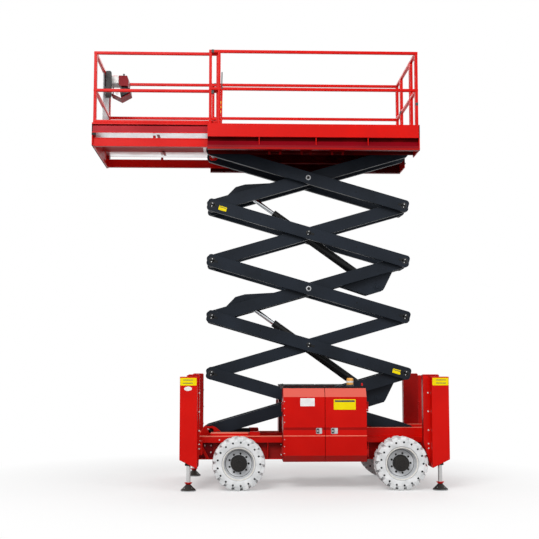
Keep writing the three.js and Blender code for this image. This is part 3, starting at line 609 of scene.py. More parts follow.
# -------------------------------------------------------------------------- chassis
@dataclass
class Chassis:
    """Frame with its rails, end beams, ties, roller tracks and the stack's fixed pivot."""

    length: Point2 = (-1690, 1550)
    rail: Point2 = (360, 480)
    height: Point2 = (340, 620)
    beam: Point2 = (420, 590)
    pivot: Point2 = (-1362, 690)
    ties: tuple[float, ...] = (-1055, -420, 480, 955)
    track_floor: float = 643

    def build(self) -> None:
        """Builds the frame and the bolts on it."""
        frame_shape = Shape().use(RED)
        for side in SIDES:
            self.rails(frame_shape, side)
            self.track(frame_shape, side)
            self.lug(frame_shape, side)
        for start in (self.length[0], self.length[1] - 230):
            frame_shape.block((start, start + 230), (-679.7, 679.7), self.beam)
        frame_shape.use(DEEP_RED)
        frame_shape.block((-1560, -1200), (-365, 365), (555, 595))
        for x in self.ties:
            frame_shape.block((x, x + 100), (-365, 365), (340, 440))
        frame_shape.use(ZINC).bar(35, Way.Y, (-245, 245), self.pivot)
        frame_shape.piece("chassis_frame", "chassis", "red_paint", ["chassis"], 3)
        self.bolts()

    def rails(self, shape: Shape, side: int) -> None:
        """Adds one rail: web, folded lip, flange, cap bar, stop block and gusset.

        Args:
            shape: The shape that takes it.
            side: Sign along Y.
        """
        inner, outer = self.rail
        low, top = self.height
        shape.use(RED)
        lip = [(inner, top), (outer, top), (outer, 555), (outer - 12, 555), (outer - 12, top - 14),
               (inner + 25, top - 14), (inner + 25, low + 15), (420, low + 15), (420, low), (inner, low)]
        shape.strip(side, lip, self.length)
        shape.block((self.length[0], -456), offset(side, outer - 40, outer + 0.5), (top - 2, top + 8))
        # Pale strip on the cap bar's top: painted highlight.
        shape.use(HIGHLIGHT_RED).block((self.length[0], -456), offset(side, outer - 40, outer + 1),
                                 (top + 8, top + 21))
        shape.block((-1362, -880), offset(side, 380, 461), (668, 682))
        shape.use(BLACK).block((-1290, -850), offset(side, 345, 380), (640, 686))
        shape.use(DEEP_RED).block(self.length, offset(side, 384, 387), (low + 14, top - 13))
        shape.use(WINE_AND_SHADE).block((-1550, -1332), offset(side, 384, 396), (low + 14, top - 13))
        shape.use(RED)
        shape.block((-1362, -880), offset(side, 380, 460), (top - 8, 669))
        shape.cheek(rounded((-870, 612), (-735, 690), 18), side, inner, outer)
        shape.cheek([(-1545, 600), (-1508, 600), (-1372, 344), (-1412, 344)], side, 448, 460)
        for x in (-1130, -640, 640, 870, 1240):
            shape.block((x, x + 10), offset(side, 384, 462), (low + 14, top - 10))

    def track(self, shape: Shape, side: int) -> None:
        """Adds the open channel that the lowest roller runs in.

        Args:
            shape: The shape that takes it.
            side: Sign along Y.
        """
        span = (247, self.length[1])
        shape.use(RED).block(span, offset(side, 280, 372), (600, self.track_floor))
        shape.block(span, offset(side, 347, 370), (600, 738))
        # Pale strip on the wall's top edge: painted highlight.
        shape.use(HIGHLIGHT_RED).block(span, offset(side, 346, 371), (733, 738.6))
        shape.use(ZINC).block((260, 1540), offset(side, 284, 336), (self.track_floor, self.track_floor + 1))

    def lug(self, shape: Shape, side: int) -> None:
        """Adds the plate that holds the lowest fixed pin, with its collar.

        Args:
            shape: The shape that takes it.
            side: Sign along Y.
        """
        outline = [(-1500, 580), (-1490, 690), (-1455, 730), (-1425, 746), (-1335, 748), (-1300, 732),
                   (-1205, 655), (-1205, 580)]
        shape.use(RED).cheek(outline, side, 205, 245)
        shape.ring(35, 52, (0, side * 8), Way.Y, (*self.pivot, side * 245), 32)

    def bolts(self) -> None:
        """Builds the heads on the rails, the pivot plates and the end beams."""
        shape = Shape().use(PLATE)
        for side in SIDES:
            for x, z in ((-1436, 514), (-1358, 514), (-1436, 427), (-1358, 427)):
                shape.bolt((x, side * 396, z), Way.Y, side, 7)
            for z in (393, 524):
                shape.bolt((-463, side * 385, z), Way.Y, side, 7)
            for x in (-1250, -1050):
                shape.bolt((x, side * 481, 588), Way.Y, side, 6)
            shape.bolt((-1398, side * 245, 712), Way.Y, side, 9)
            shape.use(BLACK).bolt((self.pivot[0], side * 245, self.pivot[1]), Way.Y, side, 12)
            shape.use(PLATE)
            for x in (1360, 1440, 1510):
                shape.bolt((x, side * 640, 590), Way.Z, 1, 11)
                shape.bolt((-140 - x, side * 640, 590), Way.Z, 1, 11)
            for y in (300, 380, 560, 620):
                shape.bolt((1550, side * y, 470), Way.X, 1, 10)
                shape.bolt((1550, side * y, 545), Way.X, 1, 10)
        shape.piece("chassis_bolts", "chassis", "red_paint", soften=0.8, segments=1)


@dataclass
class Tower:
    """Housing of one outrigger: outer cover, column behind it, bolted flange and plates."""

    end: End
    hand: Hand
    top: float = 1388
    cover: float = 215
    column: float = 295
    depth: Point2 = (680, 940)

    def at(self, points: Iterable[Point2]) -> list[Point2]:
        """Places (inward, z) points from the tower's outer edge."""
        edge = Limits.of(f"tower_{self.end.word}_{self.hand.word}").x[0 if self.end is End.FRONT else 1]
        return [(edge + self.end.value * u, z) for u, z in points]

    def build(self) -> None:
        """Builds the housing."""
        side = self.hand.value
        node = f"tower_{self.end.word}_{self.hand.word}"
        face, back = self.depth[1], self.depth[0]
        shape = Shape().use(RED)
        outline = self.at([(0, self.top), (0, 380), (self.cover, 275), (self.cover, self.top)])
        shape.cheek(outline, side, back + 112, face - 1.5)
        shape.cheek(self.at([(-1, self.top + 3), (-1, 1362), (self.cover + 1, 1362),
                             (self.cover + 1, self.top + 3)]), side, back + 111, face - 0.5)
        shape.use(DEEP_RED)
        rim = self.column - (58 if self.end is End.FRONT else 0)
        column = [(90, self.top + 24), (90, 337), (self.cover, 277), (self.cover + 12, 290), (rim, 575),
                  (rim, self.top + 24)]
        shape.cheek(self.at(column), side, back, back + 110)
        flange = [(self.cover - 4, self.top - 4), (self.cover - 4, 330), (self.cover + 10, 330), (rim, 575),
                  (rim, self.top + 20)]
        shape.use(RED).cheek(self.at(flange), side, back + 104, back + 114)
        shape.cheek(self.at(rounded((96, self.top + 10), (rim - 6, self.top + 30), 9)), side, back + 6,
                    back + 104)
        for z in (560, 1010):
            shape.cheek(self.at([(60, z), (96, z), (96, z + 14), (60, z + 14)]), side, back + 20,
                        back + 112)
        shape.piece(f"{node}_housing", "chassis", "red_paint", [node], 5, 3)
        self.fixings(node, side, face, back)

    def fixings(self, node: str, side: int, face: float, back: float) -> None:
        """Builds the bolts, the blank plates and the leg's wiper ring.

        Args:
            node: The tower's node.
            side: Sign along Y.
            face: Distance out to the cover's face.
            back: Distance out to the column's inner face.
        """
        shape = Shape().use(PLATE)
        for x, z in self.at([(234, 1189), (234, 958), (234, 727), (236, 560), (234, 505)]):
            shape.bolt((x, side * (back + 114), z), Way.Y, side, 7)
        (x0, z0), (x1, z1) = self.at([(4, 1284), (205, 1377)])
        shape.use(YELLOW).cheek(rounded((min(x0, x1), z0), (max(x0, x1), z1), 8), side, face - 2, face)
        shape.use(PLASTIC)
        for z in (1308, 1346):
            (x0, z0), (x1, z1) = self.at([(36, z), (160, z + 9)])
            shape.block((x0, x1), offset(side, face - 1, face + 0.6), (z0, z1))
        if self.end is End.FRONT and self.hand is Hand.LEFT:
            centre = self.at([(100, 1245)])[0]
            oval = [(centre[0] + 48 * math.cos(a), centre[1] + 27 * math.sin(a))
                    for a in (math.tau * i / 32 for i in range(32))]
            shape.use(PLATE).cheek(oval, side, face - 2, face)
        leg = self.at([(108, 0)])[0][0]
        shape.use(RUBBER).ring(28, 44, (0, 26), Way.Z, (leg, side * 845, 306), 32)
        shape.piece(f"{node}_fixings", "chassis", "red_paint", soften=0.7, segments=1)


@dataclass
class Outrigger:
    """Sliding leg with its collar, ball neck and ground pad."""

    end: End
    hand: Hand
    leg: float = 26
    top: float = 1080

    def build(self) -> None:
        """Builds the leg and its foot."""
        node = f"outrigger_{self.end.word}_{self.hand.word}"
        limits = Limits.of(node)
        at = (limits.centre.x, limits.centre.y, 0)
        shape = Shape().use(LEG)
        shape.lathe([(0, 98), (self.leg, 98), (self.leg, self.top), (0, self.top)], Way.Z, at, 48)
        shape.piece(f"{node}_leg", node, "chrome_leg", [node], 1.5)
        foot = Shape().use(RED)
        foot.lathe([(self.leg, 78), (32, 82), (48, 99), (48, 104), (self.leg, 104), (self.leg, 78)], Way.Z,
                   at, 48)
        foot.use(BLACK)
        foot.lathe([(0, 10), (92, 10), (92, 18), (76, 30), (34, 72), (28, 80), (28, 88), (0, 88)], Way.Z,
                   at, 48)
        foot.use(GREY).lathe([(0, 0), (90, 0), (95, 3), (95, 9), (90, 11), (0, 11)], Way.Z, at, 48)
        for turn in range(4):
            angle = math.radians(45 + 90 * turn)
            foot.use(ZINC).bolt((at[0] + 66 * math.cos(angle), at[1] + 66 * math.sin(angle), 38), Way.Z, 1,
                                5)
        foot.piece(f"{node}_foot", node, "black_paint", soften=0.8)


# --------------------------------------------------------------- axles and wheels
@dataclass
class RunningGear:
    """Axles, knuckles and wheels."""

    wheel_radius: float = 325
    half_tyre: float = 145
    rim_radius: float = 205
    hub_radius: float = 98
    kingpin_y: float = 530
    wheel_y: float = 760
    lugs: int = 18
    holes: int = 17
    wheel_bolts: int = 9

    def build(self) -> None:
        """Builds both axles, both knuckles and four wheels."""
        self.front_axle()
        self.rear_axle()
        for hand in HANDS:
            self.knuckle(hand)
        tread = self.tyre_mesh()
        for end in ENDS:
            for hand in HANDS:
                self.wheel(end, hand, tread)

    def front_axle(self) -> None:
        """Builds the steered axle's beam with its kingpins."""
        x = -HALF_WHEEL_BASE
        shape = Shape().use(BLACK)
        shape.block((x - 50, x + 50), (-self.kingpin_y, self.kingpin_y), (262, 339.5))
        for side in SIDES:
            at = (x, side * self.kingpin_y)
            shape.bar(52, Way.Z, (262, 339.5), at)
            shape.bar(30, Way.Z, (205, 430), at)
            shape.block((x - 70, x + 70), offset(side, 370, 470), (318, 339.5))
        shape.use(ZINC)
        for side in SIDES:
            for turn in (-55, 55):
                shape.bolt((x + turn, side * 420, 318), Way.Z, -1, 10)
        shape.piece("front_axle_beam", "chassis", "red_paint", ["front_axle"], 3)

    def rear_axle(self) -> None:
        """Builds the driven axle with its housing and flanges."""
        x = HALF_WHEEL_BASE
        shape = Shape().use(BLACK)
        shape.block((x - 55, x + 55), (-560, 560), (262, 339.5))
        shape.lathe([(0, -150), (60, -150), (92, -90), (104, 0), (92, 90), (60, 150), (0, 150)], Way.Y,
                    (x, 330, 0), 40)
        for side in SIDES:
            shape.use(BLACK).bar(78, Way.Y, offset(side, 550, 600), (x, self.wheel_radius))
            shape.use(ZINC).bar(35, Way.Y, offset(side, 598, 718), (x, self.wheel_radius))
        shape.piece("rear_axle_beam", "chassis", "red_paint", ["rear_axle"], 3)

    def knuckle(self, hand: Hand) -> None:
        """Builds the fork and spindle that steer one wheel.

        Args:
            hand: The side.
        """
        x, side = -HALF_WHEEL_BASE, hand.value
        y = side * self.kingpin_y
        shape = Shape().use(BLACK)
        for z in ((351, 415), (218, 250)):
            shape.ring(31, 48, (0, z[1] - z[0]), Way.Z, (x, y, z[0]), 40)
            shape.block((x - 46, x + 46), offset(side, self.kingpin_y + 36, self.kingpin_y + 76), z)
        shape.block((x - 58, x + 58), offset(side, self.kingpin_y + 62, self.kingpin_y + 80), (218, 415))
        shape.block((x + 40, x + 57), offset(side, 500, 600), (224, 244))
        shape.use(ZINC).bar(35, Way.Y, offset(side, 605, 718), (x, self.wheel_radius))
        name = f"knuckle_{hand.word}"
        shape.piece(f"{name}_fork", name, "black_paint", [name], 2.5)

    def tyre_mesh(self) -> bpy.types.Mesh:
        """Makes the solid tyre about Y with its outer wall towards -Y, hollows cut in.

        Returns:
            The mesh, in millimetres from the wheel's centre.
        """
        shape = Shape().use(TYRE, Matrix.Identity(4))
        half, bore = self.half_tyre, self.rim_radius
        carcass = [(bore, -half + 24), (bore + 6, -half + 8), (236, -half + 1), (274, -half + 1),
                   (282, -half + 10), (296, -half + 22), (298, -half + 40), (298, half - 40),
                   (296, half - 22), (282, half - 10), (274, half - 1), (236, half - 1),
                   (bore + 6, half - 8), (bore, half - 24), (bore, -half + 24)]
        shape.lathe(carcass, Way.Y, (0, 0, 0), 108)
        # Dark bands at the tread's base, seen between the lugs: painted shade.
        for low, high in ((-half + 24, -8), (8, half - 24)):
            band = [(296, low), (300, low), (300, high), (296, high), (296, low)]
            shape.use(SHADE_GREY).lathe(band, Way.Y, (0, 0, 0), 108)
        shape.use(TYRE)
        for i in range(self.lugs):
            for wall in (-1, 1):
                self.lug(shape, math.tau * (i + (0 if wall < 0 else 0.5)) / self.lugs, wall)
        bmesh.ops.recalc_face_normals(shape.mesh, faces=shape.mesh.faces[:])
        data = bpy.data.meshes.new("tyre_form")
        shape.mesh.to_mesh(data)
        # The hollows take the dark grey: painted shade inside them.
        cutter = Shape().use(SHADE_GREY, Matrix.Identity(4))
        for at in around(self.holes, 262):
            cutter.bar(12.5, Way.Y, (-half - 10, -half + 42), at, 16)
            cutter.bar(12.5, Way.Y, (half - 42, half + 10), at, 16)
        bmesh.ops.recalc_face_normals(cutter.mesh, faces=cutter.mesh.faces[:])
        holes = bpy.data.meshes.new("hollows")
        cutter.mesh.to_mesh(holes)
        return self.carved(data, holes)

    def lug(self, shape: Shape, angle: float, wall: int) -> None:
        """Adds one tread block from a wall to past the middle, slanting back.

        Args:
            shape: The shape that takes it.
            angle: Where it starts around the tyre.
            wall: -1 for the outer wall, 1 for the inner one.
        """
        width, lean = math.tau / self.lugs * 0.66, 0.16
        half, outer = self.half_tyre, self.wheel_radius
        rows = [(half, outer - 24, 0.0), (half - 9, outer - 4, 0.0), (half - 26, outer, 0.0),
                (44, outer, 0.45), (6, outer, 1.0)]
        steps = 4
        sections = []
        for out, radius, slide in rows:
            turns = [angle + lean * slide + width * (1 - 0.28 * slide) * k / steps
                     for k in range(steps + 1)]
            top = [(radius, a) for a in turns]
            foot = [(276 if out == half else 290, a) for a in reversed(turns)]
            sections.append([Vector((r * math.cos(a), wall * out, r * math.sin(a))) for r, a in top + foot])
        shape.loft(sections)

    @staticmethod
    def carved(data: bpy.types.Mesh, holes: bpy.types.Mesh) -> bpy.types.Mesh:
        """Cuts one mesh out of another.

        Args:
            data: The mesh that is cut.
            holes: The mesh that cuts.

        Returns:
            The cut mesh, with the cutter's dark grey in its hollows as painted shade.
        """
        body, tool = (placed(mesh.name, mesh) for mesh in (data, holes))
        for finish in (TYRE, SHADE_GREY):
            data.materials.append(finish.material())
        holes.materials.append(SHADE_GREY.material())
        cut = body.modifiers.new("hollows", "BOOLEAN")
        cut.object, cut.operation, cut.solver = tool, "DIFFERENCE", "EXACT"
        cut.material_mode = "TRANSFER"
        bpy.context.view_layer.update()
        made = bpy.data.meshes.new_from_object(body.evaluated_get(bpy.context.evaluated_depsgraph_get()))
        for obj in (body, tool):
            bpy.data.objects.remove(obj)
        return made

    def wheel(self, end: End, hand: Hand, tread: bpy.types.Mesh) -> None:
        """Builds one wheel: tyre, rim with its hub and bolts.

        Args:
            end: The axle.
            hand: The side.
            tread: The tyre's mesh, with its outer wall towards -Y.
        """
        name = f"{end.word}_{hand.word}"
        x = -HALF_WHEEL_BASE if end is End.FRONT else HALF_WHEEL_BASE
        turn = Matrix.Rotation(math.pi if hand is Hand.RIGHT else 0.0, 4, "Z")
        axes = HOME @ Matrix.Translation((x, hand.value * self.wheel_y, self.wheel_radius)) @ turn
        tyre = tread.copy()
        tyre.name = f"tyre_{name}_tread"
        tyre.transform(Matrix.Scale(MM, 4) @ axes)
        tyre.set_sharp_from_angle(angle=math.radians(28))
        made = placed(tyre.name, tyre)
        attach(made, f"wheel_{name}")
        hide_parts(f"tyre_{name}")
        self.rim(name, axes)

    def rim(self, name: str, axes: Matrix) -> None:
        """Builds the dished rim with its hub cap, ring and bolts.

        Args:
            name: End and side of the wheel.
            axes: The wheel's axes, its outer wall towards -Y.
        """
        seat, edge, hub = self.rim_radius - 0.5, self.half_tyre - 25, self.hub_radius
        shape = Shape().use(RIM, axes)
        dish = [(hub, -26), (168, -26), (174, -32), (178, -70), (188, -edge + 4), (194, -edge - 4),
                (203, -edge - 6), (seat, -edge), (seat, edge), (seat - 14, edge), (seat - 30, 20), (168, 6),
                (hub, 6), (hub, -26)]
        shape.lathe(dish, Way.Y, (0, 0, 0), 72)
        # Whiter bead on the flange lip: painted highlight.
        shape.use(WHITE).lathe([(186, -edge - 3), (190, -edge - 8), (199, -edge - 9), (203, -edge - 3),
                                (186, -edge - 3)], Way.Y, (0, 0, 0), 72)
        # Thin dark ring on the rim face by the step into the bowl: painted shade.
        shape.use(SHADE_GREY).ring(160, 166, (-27, -25), Way.Y, (0, 0, 0), 72)
        shape.use(BLACK)
        shape.lathe([(0, -112), (60, -112), (88, -109), (96, -100), (100, -40), (104, -30), (hub, -26),
                     (hub, 112), (40, 118), (40, 60), (0, 60)], Way.Y, (0, 0, 0), 56)
        shape.ring(34, 46, (-112, -118), Way.Y, (0, 0, 0), 40)
        for count, radius, face, size in ((6, 68, -110, 6), (self.wheel_bolts, 121, -26, 9)):
            for x, z in around(count, radius):
                shape.bolt((x, face, z), Way.Y, -1, size)
        shape.piece(f"rim_{name}_wheel", f"wheel_{name}", "rim_paint", [f"rim_{name}"], 1.2)


# ------------------------------------------------------------------------- cabinets
@dataclass
class Cabinets:
    """Side cabinets with their doors, the engine, and the lamps and hook on top."""

    span: Point2 = (-456, 577)
    back: float = 480.3
    front: float = 862
    bottom: float = 340
    top: float = 1262
    wall: float = 18
    hinge_out: float = 14
    hinge_heights: tuple[float, ...] = (470, 1020)
    face: tuple[Point2, ...] = ((770, 1262), (860, 1140), (860, 802), (850, 736), (866, 664), (862, 652),
                                (862, 425), (822, 344))
    lining: tuple[Point2, ...] = ((802, 344), (837, 428), (837, 650), (825, 736), (835, 800), (835, 1132),
                                  (757, 1238))

    def build(self) -> None:
        """Builds both cabinets and what they hold."""
        for hand in HANDS:
            self.shell(hand)
            for end in ENDS:
                self.door(hand, end)
        self.engine()
        self.beacon()
        self.top_fittings()

    def shell(self, hand: Hand) -> None:
        """Builds one hollow cabinet with its hinge ears and pins.

        Args:
            hand: The side.
        """
        side, (x0, x1) = hand.value, self.span
        shape = Shape().use(DEEP_RED)
        edge = self.front - 45
        wall = [(self.back, self.bottom), (782, self.bottom), (edge, 440), (edge, 1110), (744, 1216),
                (738, 1248), (self.back, 1248)]
        for x in ((x0, x0 + self.wall), (x1 - self.wall, x1)):
            shape.strip(side, wall, x)
        shape.block(self.span, offset(side, self.back, self.back + self.wall), (self.bottom, 1250))
        shape.block(self.span, offset(side, self.back, 777), (self.bottom, self.bottom + self.wall))
        shape.use(BLACK).block(self.span, offset(side, self.back, 751), (self.top - self.wall, self.top))
        shape.use(DEEP_RED)
        for x in (x0 + 330, x0 + 700):
            shape.block((x, x + 30), offset(side, 498, 512), (358, 1244))
        for axis, towards in ((x0 - self.hinge_out, 1), (x1 + self.hinge_out, -1)):
            for z in self.hinge_heights:
                for low in (z - 60, z + 40):
                    shape.block((axis - towards * 8, axis + towards * 24),
                                offset(side, edge - 30, edge - 4), (low, low + 20))
                    shape.block((axis - towards * 8, axis + towards * 8),
                                offset(side, edge - 30, self.front - 5), (low, low + 20))
                shape.bar(5, Way.Z, (z - 50, z + 50), (axis, side * (self.front - 12)), 20)
        name = f"cabinet_{hand.word}"
        shape.piece(f"{name}_shell", "chassis", "dark_red_paint", [name], 2)

    def door(self, hand: Hand, end: End) -> None:
        """Builds one door with its hinge knuckles, latch, seal, rivets and blank plates.

        Args:
            hand: The side.
            end: The end it hinges at.
        """
        side, axis_out, (x0, x1) = hand.value, self.hinge_out, self.span
        middle = (x0 + x1) / 2
        first = end is End.FRONT
        leaf = (x0, middle - 3) if first else (middle + 3, x1)
        axis, towards = (x0 - axis_out, 1) if first else (x1 + axis_out, -1)
        name = f"cabinet_door_{end.word}_{hand.word}"
        # The leaf's upward-facing shoulder comes out paler: painted highlight.
        shape = Shape().use(TOP_LIT_RED)
        section = [(side * y, z) for y, z in (*self.face, *self.lining)]
        shape.prism(section, Way.X, leaf)
        # Darker strip on the downward-facing lower chamfer: painted shade.
        shape.use(DEEP_RED).strip(side, ((862.6, 424), (823.6, 346), (821, 347), (860, 426)),
                                  (leaf[0] + 1, leaf[1] - 1))
        # Pale strip along the door's fold: painted highlight.
        shape.use(HIGHLIGHT_RED)
        shape.strip(side, ((866.8, 668), (866.8, 660), (862, 658), (862, 670)), leaf)
        # Darker strip in the crease: painted shade.
        shape.use(DEEP_RED)
        shape.strip(side, ((855.6, 768), (850.4, 733), (853.2, 720), (848, 722), (846, 764)), leaf)
        for z in self.hinge_heights:
            shape.ring(5.5, 10, (-33, 33), Way.Z, (axis, side * 850, z), 24)
            shape.block((axis, axis + towards * 22), offset(side, 855.5, 859), (z - 33, z + 33))
        shape.piece(f"{name}_leaf", name, "red_paint", [name], 2.5)
        self.door_fittings(side, first, name, leaf)

    def door_fittings(self, side: int, first: bool, name: str, leaf: Point2) -> None:
        """Builds what is fixed to one door's face.

        Args:
            side: Sign along Y.
            first: Whether it is the front door.
            name: The door's node.
            leaf: Where the door starts and ends along X.
        """
        shape = Shape()
        latch = (-53, 21) if first else (133, 217)
        shape.use(GREY).cheek(rounded((latch[0], 688), (latch[1], 760), 10), side, 846, 861)
        shape.use(PLASTIC).cheek(rounded((latch[0] + 5, 694), (latch[0] + 40, 754), 5), side, 859, 862)
        shape.use(ZINC).cheek(rounded((latch[0] + 46, 694), (latch[1] - 5, 754), 5), side, 859, 865)
        shape.disc(9, side * 4, Way.Y, (latch[0] + 22, 724, side * 861), 28)
        if first:
            for z in (450, 535, 620, 830, 915, 1000, 1085):
                rivet = [(0, 0), (6, 0), (5.2, side * 2.6), (0, side * 3.6)]
                shape.lathe(rivet, Way.Y, (leaf[0] + 13, z, side * (861.5 if z < 652 else 859.5)), 20)
            shape.use(PLATE).cheek(rounded((-247, 1027), (-68, 1126), 6), side, 859, 862)
        else:
            shape.use(YELLOW).cheek(rounded((168, 984), (441, 1112), 6), side, 859, 862)
            shape.use(PLASTIC).cheek(rounded((180, 1078), (429, 1100), 3), side, 861, 862.8)
        shape.use(RUBBER)
        lip = [(783, 1247), (772, 1269), (755, 1269), (755, 1262.6), (770, 1262), (780, 1246)]
        shape.strip(side, lip, leaf)
        shape.block(leaf, offset(side, 756, 768), (1240, 1264))
        shape.piece(f"{name}_fittings", name, "red_paint", soften=1.2)

    def engine(self) -> None:
        """Builds the engine in the right cabinet: block, head, fan, filter and pump."""
        shape = Shape().use(ENGINE)
        low, high = Limits.of("engine_block").y
        z0 = self.bottom + self.wall + 0.3
        shape.block((-190, 190), (low + 30, high - 70), (z0 + 60, 700))
        shape.block((-170, 170), (low + 60, high - 90), (690, 800))
        shape.prism(rounded((-160, 780), (160, 850), 24), Way.Y, (low + 80, high - 110))
        shape.block((-240, 340), (low, low + 40), (z0, z0 + 50))
        shape.block((-240, 340), (high - 60, high - 20), (z0, z0 + 50))
        for x in (-160, 150):
            shape.block((x - 25, x + 25), (low + 5, high - 25), (z0 + 20, z0 + 80))
        for x in (-120, -40, 40, 120):
            shape.bar(20, Way.Y, (high - 95, high - 40), (x, 730), 24)
        shape.use(BLACK)
        shape.lathe([(0, -20), (150, -20), (150, 0), (0, 0)], Way.X, ((low + high) / 2, 620, -200), 40)
        shape.lathe([(0, -45), (60, -45), (60, 10), (0, 10)], Way.X, ((low + high) / 2, 620, -200), 32)
        shape.bar(70, Way.X, (185, 345), ((low + high) / 2, 560), 32)
        shape.use(GREY).bar(60, Way.X, (-150, 120), ((low + high) / 2 + 40, 838), 32)
        shape.piece("engine_unit", "chassis", "engine_metal", ["engine_block"], 3)

    def beacon(self) -> None:
        """Builds the flashing lamp on its foot."""
        limits = Limits.of("beacon")
        at = (limits.centre.x, limits.centre.y, limits.z[0])
        shape = Shape().use(PLASTIC)
        shape.lathe([(0, 0), (52, 0), (52, 18), (48, 22), (44, 24), (0, 24)], Way.Z, at, 56)
        shape.use(AMBER)
        dome = [(42, 24), (43, 60), (42, 90)] + arc((32, 96), 9, 0, 80, 5) + [(14, 108.5), (0, 110)]
        shape.lathe([(0, 24)] + dome, Way.Z, at, 56)
        for z in (30, 38, 80, 88):
            shape.lathe([(41, z), (44.2, z + 1), (44.2, z + 4), (41, z + 5), (41, z)], Way.Z, at, 56)
        shape.use(WHITE).lathe([(41, 48), (44, 49), (44, 71), (41, 72), (41, 48)], Way.Z, at, 56)
        shape.piece("beacon_lamp", "chassis", "amber_lens", ["beacon"], 0.8)

    def top_fittings(self) -> None:
        """Builds the red lamp post and the black hook on the cabinets."""
        shape = Shape().use(PLASTIC)
        shape.prism(rounded((541, -620), (566, -596), 5), Way.Z, (1262, 1274))
        shape.use(RED).lathe([(0, 0), (11, 0), (11, 26), (8, 31), (0, 33)], Way.Z, (553, -608, 1274), 28)
        shape.use(PLASTIC)
        shape.block((-483, -440), (-650, -615), (1240, 1262))
        shape.block((-483, -470), (-645, -620), (1255, 1299))
        shape.tube([(-470, -632, 1290), (-455, -632, 1298), (-446, -632, 1288), (-446, -632, 1262)], 6)
        shape.piece("cabinet_top_fittings", "chassis", "dark_red_paint", soften=1)


@dataclass
class Ladder:
    """Steps fixed to the rear beam."""

    face: float = 1550.3
    half: float = 215
    rungs: tuple[float, ...] = (400, 660, 920, 1180)

    def build(self) -> None:
        """Builds the stiles, the ribbed rungs and their bolts."""
        shape = Shape().use(DEEP_RED)
        x = (self.face, self.face + 39.7)
        for side in SIDES:
            shape.block(x, offset(side, 190, self.half), (330, 1240))
        for z in self.rungs:
            shape.block(x, (-195, 195), (z, z + 26))
            shape.use(ZINC)
            for step in range(12):
                y = -165 + 30 * step
                shape.block((x[0] + 2, x[1] - 2), (y - 4, y + 4), (z + 25, z + 30))
            shape.use(DEEP_RED)
        shape.use(ZINC)
        for side in SIDES:
            for z in (460, 550):
                shape.bolt((x[1] - 0.2, side * 202, z), Way.X, 1, 8)
        shape.piece("rear_ladder_steps", "chassis", "dark_red_paint", ["rear_ladder"], 2)


